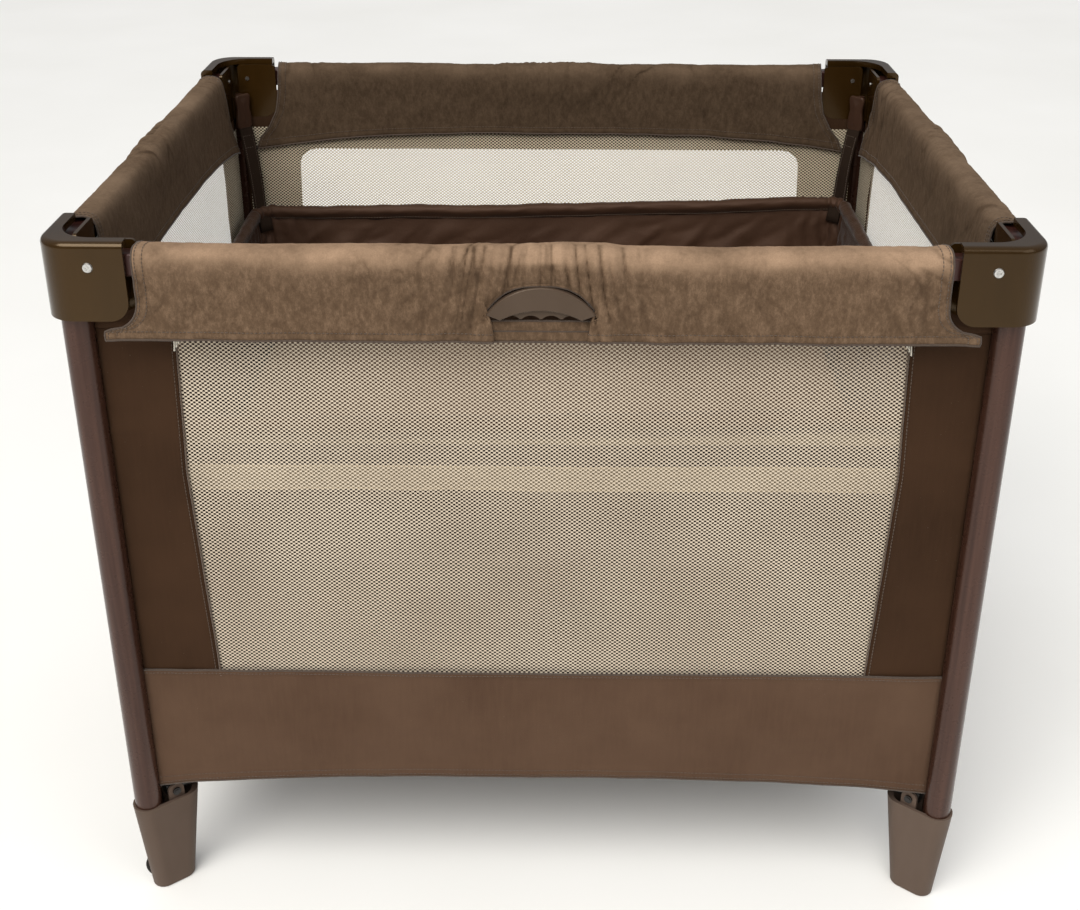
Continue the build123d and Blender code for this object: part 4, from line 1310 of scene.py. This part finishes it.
PAD_CORNER = 0.038
PAD_CROWN = 0.014
QUILT_PITCH = 0.082
# Width of the plain border outside the quilting, and the least height of the quilt's seams
QUILT_INSET = 0.02
QUILT_SEAM = 0.62


def mattress_pad():
    """A thin quilted pad, crowned, with sewn diamonds and a piped edge."""
    low, high = size("mattress")
    half_x, half_y, thick = high.x, high.y, high.z - low.z
    nx, ny = 168, 130
    work = bmesh.new()

    def place(upper, i, j):
        """A point of the pad's upper or lower face."""
        u, v = 2 * i / nx - 1, 2 * j / ny - 1
        x, y = u * half_x, v * half_y
        inner_x, inner_y = half_x - PAD_CORNER, half_y - PAD_CORNER
        dx, dy = max(0.0, abs(x) - inner_x), max(0.0, abs(y) - inner_y)
        in_corner = dx > 0 and dy > 0
        if in_corner:
            scale = max(dx, dy) / math.hypot(dx, dy)
            x = math.copysign(inner_x + dx * scale, x)
            y = math.copysign(inner_y + dy * scale, y)
        edge = min(half_x - abs(x), half_y - abs(y))
        if in_corner:
            edge = PAD_CORNER - math.hypot(max(0, abs(x) - inner_x), max(0, abs(y) - inner_y))
        edge = max(0.0, edge)
        pull = 0.0025 * math.sin(math.pi * (v + 1) / 2) ** 0.5 if abs(u) == 1 else 0.0
        x -= math.copysign(pull, x)
        crown = math.sqrt(max(0.0, 1 - (1 - min(1.0, edge / PAD_CROWN)) ** 2))
        if not upper:
            return x, y, low.z + thick / 2 - thick / 2 * crown
        a = abs(math.sin(math.pi * (x + y) / QUILT_PITCH))
        b = abs(math.sin(math.pi * (x - y) / QUILT_PITCH))
        border = 1 - smooth_step(0.0, 0.02, edge - QUILT_INSET)
        depth = QUILT_SEAM + (1 - QUILT_SEAM) * max((a * b) ** 0.42, border)
        dimple = 0.0005 * fractal(x * 40, y * 40, 1.0, 3) * crown
        return x, y, low.z + thick / 2 + thick / 2 * crown * depth + dimple

    for upper in (True, False):
        layer = [[work.verts.new(place(upper, i, j)) for j in range(ny + 1)] for i in range(nx + 1)]
        for near, far in zip(layer, layer[1:]):
            for j in range(ny):
                quad = [near[j], far[j], far[j + 1], near[j + 1]]
                work.faces.new(quad if upper else quad[::-1])
    bmesh.ops.remove_doubles(work, verts=work.verts, dist=1e-5)
    obj = add_work("bassinet_pad", work, [M["mattress"]])
    layer = obj.data.uv_layers.new(name="cloth")
    for loop in obj.data.loops:
        co = obj.data.vertices[loop.vertex_index].co
        layer.data[loop.index].uv = (co.x / MM, co.y / MM)
    outline = tray_outline(2 * half_x - 0.001, 2 * half_y - 0.001, PAD_CORNER, (80, 60), 14)
    edge = [Vector((x, y, low.z + thick / 2)) for x, y, _ in outline]
    piping = tube_mesh("bassinet_pad_piping", edge, 0.0022, M["piping"], closed=True)
    attach((obj, piping), "bassinet", "mattress_cloth", "mattress")


CLIP_WIDTH = 0.026
CLIP_THICK = 0.006
CLIP_HEIGHT = 0.052
CLIP_REACH = 0.030
CLIP_ROUND = 0.0014
CLIP_RIB = 0.0012
LIP_LENGTH = 0.018
LIP_THICK = 0.0052
LIP_HALF = 0.0050
STRAP_WIDTH = 0.022
STRAP_THICK = 0.0018
STRAP_END_X = 0.4550
STRAP_END_Y = 0.3540
STRAP_TWIST = 0.10
STRAP_BOW = 0.004
STRAP_ROWS = 30
TAIL_ROWS = 6


def clip_body(name, corner_point, inward, across, top):
    """A moulded hook: a waisted plate with a rib, and a lip over the socket."""
    work = bmesh.new()
    rows, columns = 16, 12

    def vert(reach, sideways, height):
        point = corner_point + inward * reach + across * sideways
        return work.verts.new((point.x, point.y, height))

    plate = {}
    for i in range(rows + 1):
        t = i / rows
        waist = 1 - 0.16 * bell(t - 0.42, 0.17)
        half = CLIP_WIDTH / 2 * waist * (1 - 0.18 * (1 - smooth_step(0, 0.07, min(t, 1 - t))))
        for j in range(columns + 1):
            s = 2 * j / columns - 1
            edge = min(1.0, (1 - abs(s)) / 0.22)
            round_off = CLIP_ROUND * (1 - math.sqrt(max(0.0, 1 - (1 - edge) ** 2)))
            rib = CLIP_RIB * bell(s, 0.30) * smooth_step(0.10, 0.24, t) * smooth_step(0.92, 0.80, t)
            for front, reach in ((1, CLIP_THICK / 2 - round_off + rib), (0, -CLIP_THICK / 2 + round_off)):
                plate[front, i, j] = vert(CLIP_REACH + reach, s * half, top - CLIP_HEIGHT * t)
    for i in range(rows):
        for j in range(columns):
            for front in (0, 1):
                square = ((i, j), (i, j + 1), (i + 1, j + 1), (i + 1, j))
                work.faces.new([plate[front, a, b] for a, b in square])
        for j in (0, columns):
            work.faces.new([plate[key] for key in ((0, i, j), (0, i + 1, j), (1, i + 1, j), (1, i, j))])
    for j in range(columns):
        for i in (0, rows):
            work.faces.new([plate[key] for key in ((0, i, j), (1, i, j), (1, i, j + 1), (0, i, j + 1))])
    lip = []
    for k in range(9):
        t = k / 8
        reach = CLIP_REACH + CLIP_THICK / 2 - 0.001 - (LIP_LENGTH - 0.001) * t
        height = top - 0.0005 - 0.0010 * t * t
        thick = LIP_THICK * (1 - 0.30 * t)
        half = LIP_HALF * (1 - 0.25 * t**3)
        lip.append([vert(reach, half * a, height + b * (thick if b < 0 else 0.0010))
                    for a, b in ((-1, 0), (-0.8, 0.25), (0.8, 0.25), (1, 0), (1, -1), (-1, -1))])
    loft(work, lip)
    bmesh.ops.recalc_face_normals(work, faces=work.faces)
    obj = add_work(name, work, [M["clip"]])
    bevel = obj.modifiers.new("edge", "BEVEL")
    bevel.width = 0.0005
    bevel.segments = 2
    bevel.limit_method = "ANGLE"
    return obj


def hangers():
    """The four hooks and webbing straps that carry the bassinet."""
    hanger_high = size("bassinet_hangers")[1]
    for sx, sy, where in corners():
        corner_point = Vector((sx * LEG_X, sy * LEG_Y, 0))
        inward = Vector((-sx, -sy, 0)).normalized()
        across = Vector((-inward.y, inward.x, 0))
        clip = clip_body(f"bassinet_clip_{where}", corner_point, inward, across, hanger_high.z)
        top = corner_point + inward * (CLIP_REACH + 0.0005) + UP * (hanger_high.z - CLIP_HEIGHT + 0.006)
        end_x, end_y = sx * STRAP_END_X, sy * STRAP_END_Y
        end = Vector((end_x, end_y, tray_high.z + 0.012 - rim_drop(end_x, end_y)))
        length = (end - top).length

        def cell(i, j):
            """The strap hangs to the rim with a slight twist, and its tail turns in under the rim."""
            s = (j / 4 - 1) * STRAP_WIDTH / 2
            k = i - STRAP_ROWS
            if k > 0:
                middle = end + inward * 0.0025 * k - Vector((0, 0, 0.0028 * k * k / 3))
                return middle + across * s, (s / MM, (length + 0.004 * k) / MM)
            t = i / STRAP_ROWS
            middle = top.lerp(end, t) + inward * STRAP_BOW * math.sin(math.pi * t)
            twist = STRAP_TWIST * math.sin(math.pi * t * 1.4)
            point = middle + across * s * math.cos(twist) + inward * s * math.sin(twist)
            point += inward * 0.0006 * math.sin(math.pi * (j / 8)) * math.sin(math.pi * t)
            return point, (s / MM, t * length / MM)

        points, uvs = grid(STRAP_ROWS + TAIL_ROWS, 8, cell)
        strap = grid_mesh(f"bassinet_strap_{where}", points, uvs, M["strap"], thickness=STRAP_THICK)
        seams = [[line[column] for line in points[4:STRAP_ROWS + 1]] for column in (1, 7)]
        seams += [points[row][1:8] for row in (4, 8)]
        sewn = [stitches(seam, inward * 0.0011, 2.4, 1.0, 0.0004) for seam in seams]
        trim = merge(f"bassinet_strap_trim_{where}", sewn)
        attach((clip, strap, trim), "bassinet", "hanger_plastic", "bassinet_hangers")


# ---------------------------------------------------------------- build
paint_nodes()
for yard_side in SIDES:
    half_cover(yard_side, -1)
    half_cover(yard_side, 1)
    under_strip(yard_side)
    surround(yard_side)
    if yard_side.name != "back":
        corner_bindings(yard_side)
    net_sheet(yard_side)
    skirt(yard_side)
floor_quarters()
tray_skin("bassinet_outer_skin", OUTER_GAP, M["tray_outer"], False)
tray_skin("bassinet_inner_skin", INNER_GAP, M["tray"], True)
rim_roll()
mattress_pad()
hangers()


# ---------------------------------------------------------------- floor, light and camera
def studio():
    """A plain pale floor and soft light from above and in front."""
    bpy.ops.mesh.primitive_circle_add(vertices=96, radius=14, fill_type="NGON")
    ground = bpy.context.object
    ground.name = "studio_floor"
    s = Shader("studio_floor", Roughness=0.38, Specular_IOR_Level=0.45)
    s.colour(s.ramp(s.noise(1.4, 3.0), [(0.3, (0.93, 0.92, 0.885)), (0.7, (0.97, 0.96, 0.93))]))
    s.bump(s.noise(90.0, 3.0, 0.5), 0.0004, 0.2)
    ground.data.materials.append(s.mat)
    world = bpy.data.worlds.new("studio")
    world.use_nodes = True
    tree = world.node_tree
    split = tree.nodes.new("ShaderNodeSeparateXYZ")
    sky = tree.nodes.new("ShaderNodeValToRGB")
    tree.links.new(tree.nodes.new("ShaderNodeTexCoord").outputs["Generated"], split.inputs[0])
    tree.links.new(split.outputs[2], sky.inputs["Fac"])
    sky.color_ramp.elements[0].color = (0.19, 0.19, 0.19, 1)
    sky.color_ramp.elements[1].color = (0.66, 0.67, 0.69, 1)
    tree.links.new(sky.outputs["Color"], tree.nodes["Background"].inputs[0])
    bpy.context.scene.world = world
    sun = add_object("daylight", bpy.data.lights.new("daylight", "SUN"))
    sun.data.energy = 2.1
    sun.data.angle = math.radians(50)
    sun.data.color = (1.0, 0.985, 0.955)
    sun.rotation_euler = (math.radians(36), math.radians(-16), 0)
    lights = [
        ("key", (-1.4, -1.7, 2.9), 1.6, 26, (1.0, 0.97, 0.92)),
        ("fill", (1.9, -1.9, 2.2), 1.6, 12, (0.97, 0.98, 1.0)),
    ]
    for name, where, width, power, colour in lights:
        lamp = add_object(name, bpy.data.lights.new(name, "AREA"))
        lamp.data.shape = "SQUARE"
        lamp.data.size = width
        lamp.data.energy = power
        lamp.data.color = colour
        lamp.location = where
        lamp.rotation_euler = (Vector((0, 0, 0.5)) - Vector(where)).to_track_quat("-Z", "Y").to_euler()


def photo_camera():
    """The viewpoint: standing in front, looking a little down."""
    camera = add_object("camera", bpy.data.cameras.new("camera"))
    camera.data.sensor_width = 36
    camera.data.lens = 46.9
    camera.data.shift_y = -0.1065
    camera.data.clip_end = 60
    camera.location = (0.0202, -1.7498, 1.3904)
    camera.rotation_euler = (math.radians(90 - 24.38), 0, math.radians(0.91))
    bpy.context.scene.camera = camera


studio()
photo_camera()
bpy.context.scene.view_settings.view_transform = "Standard"
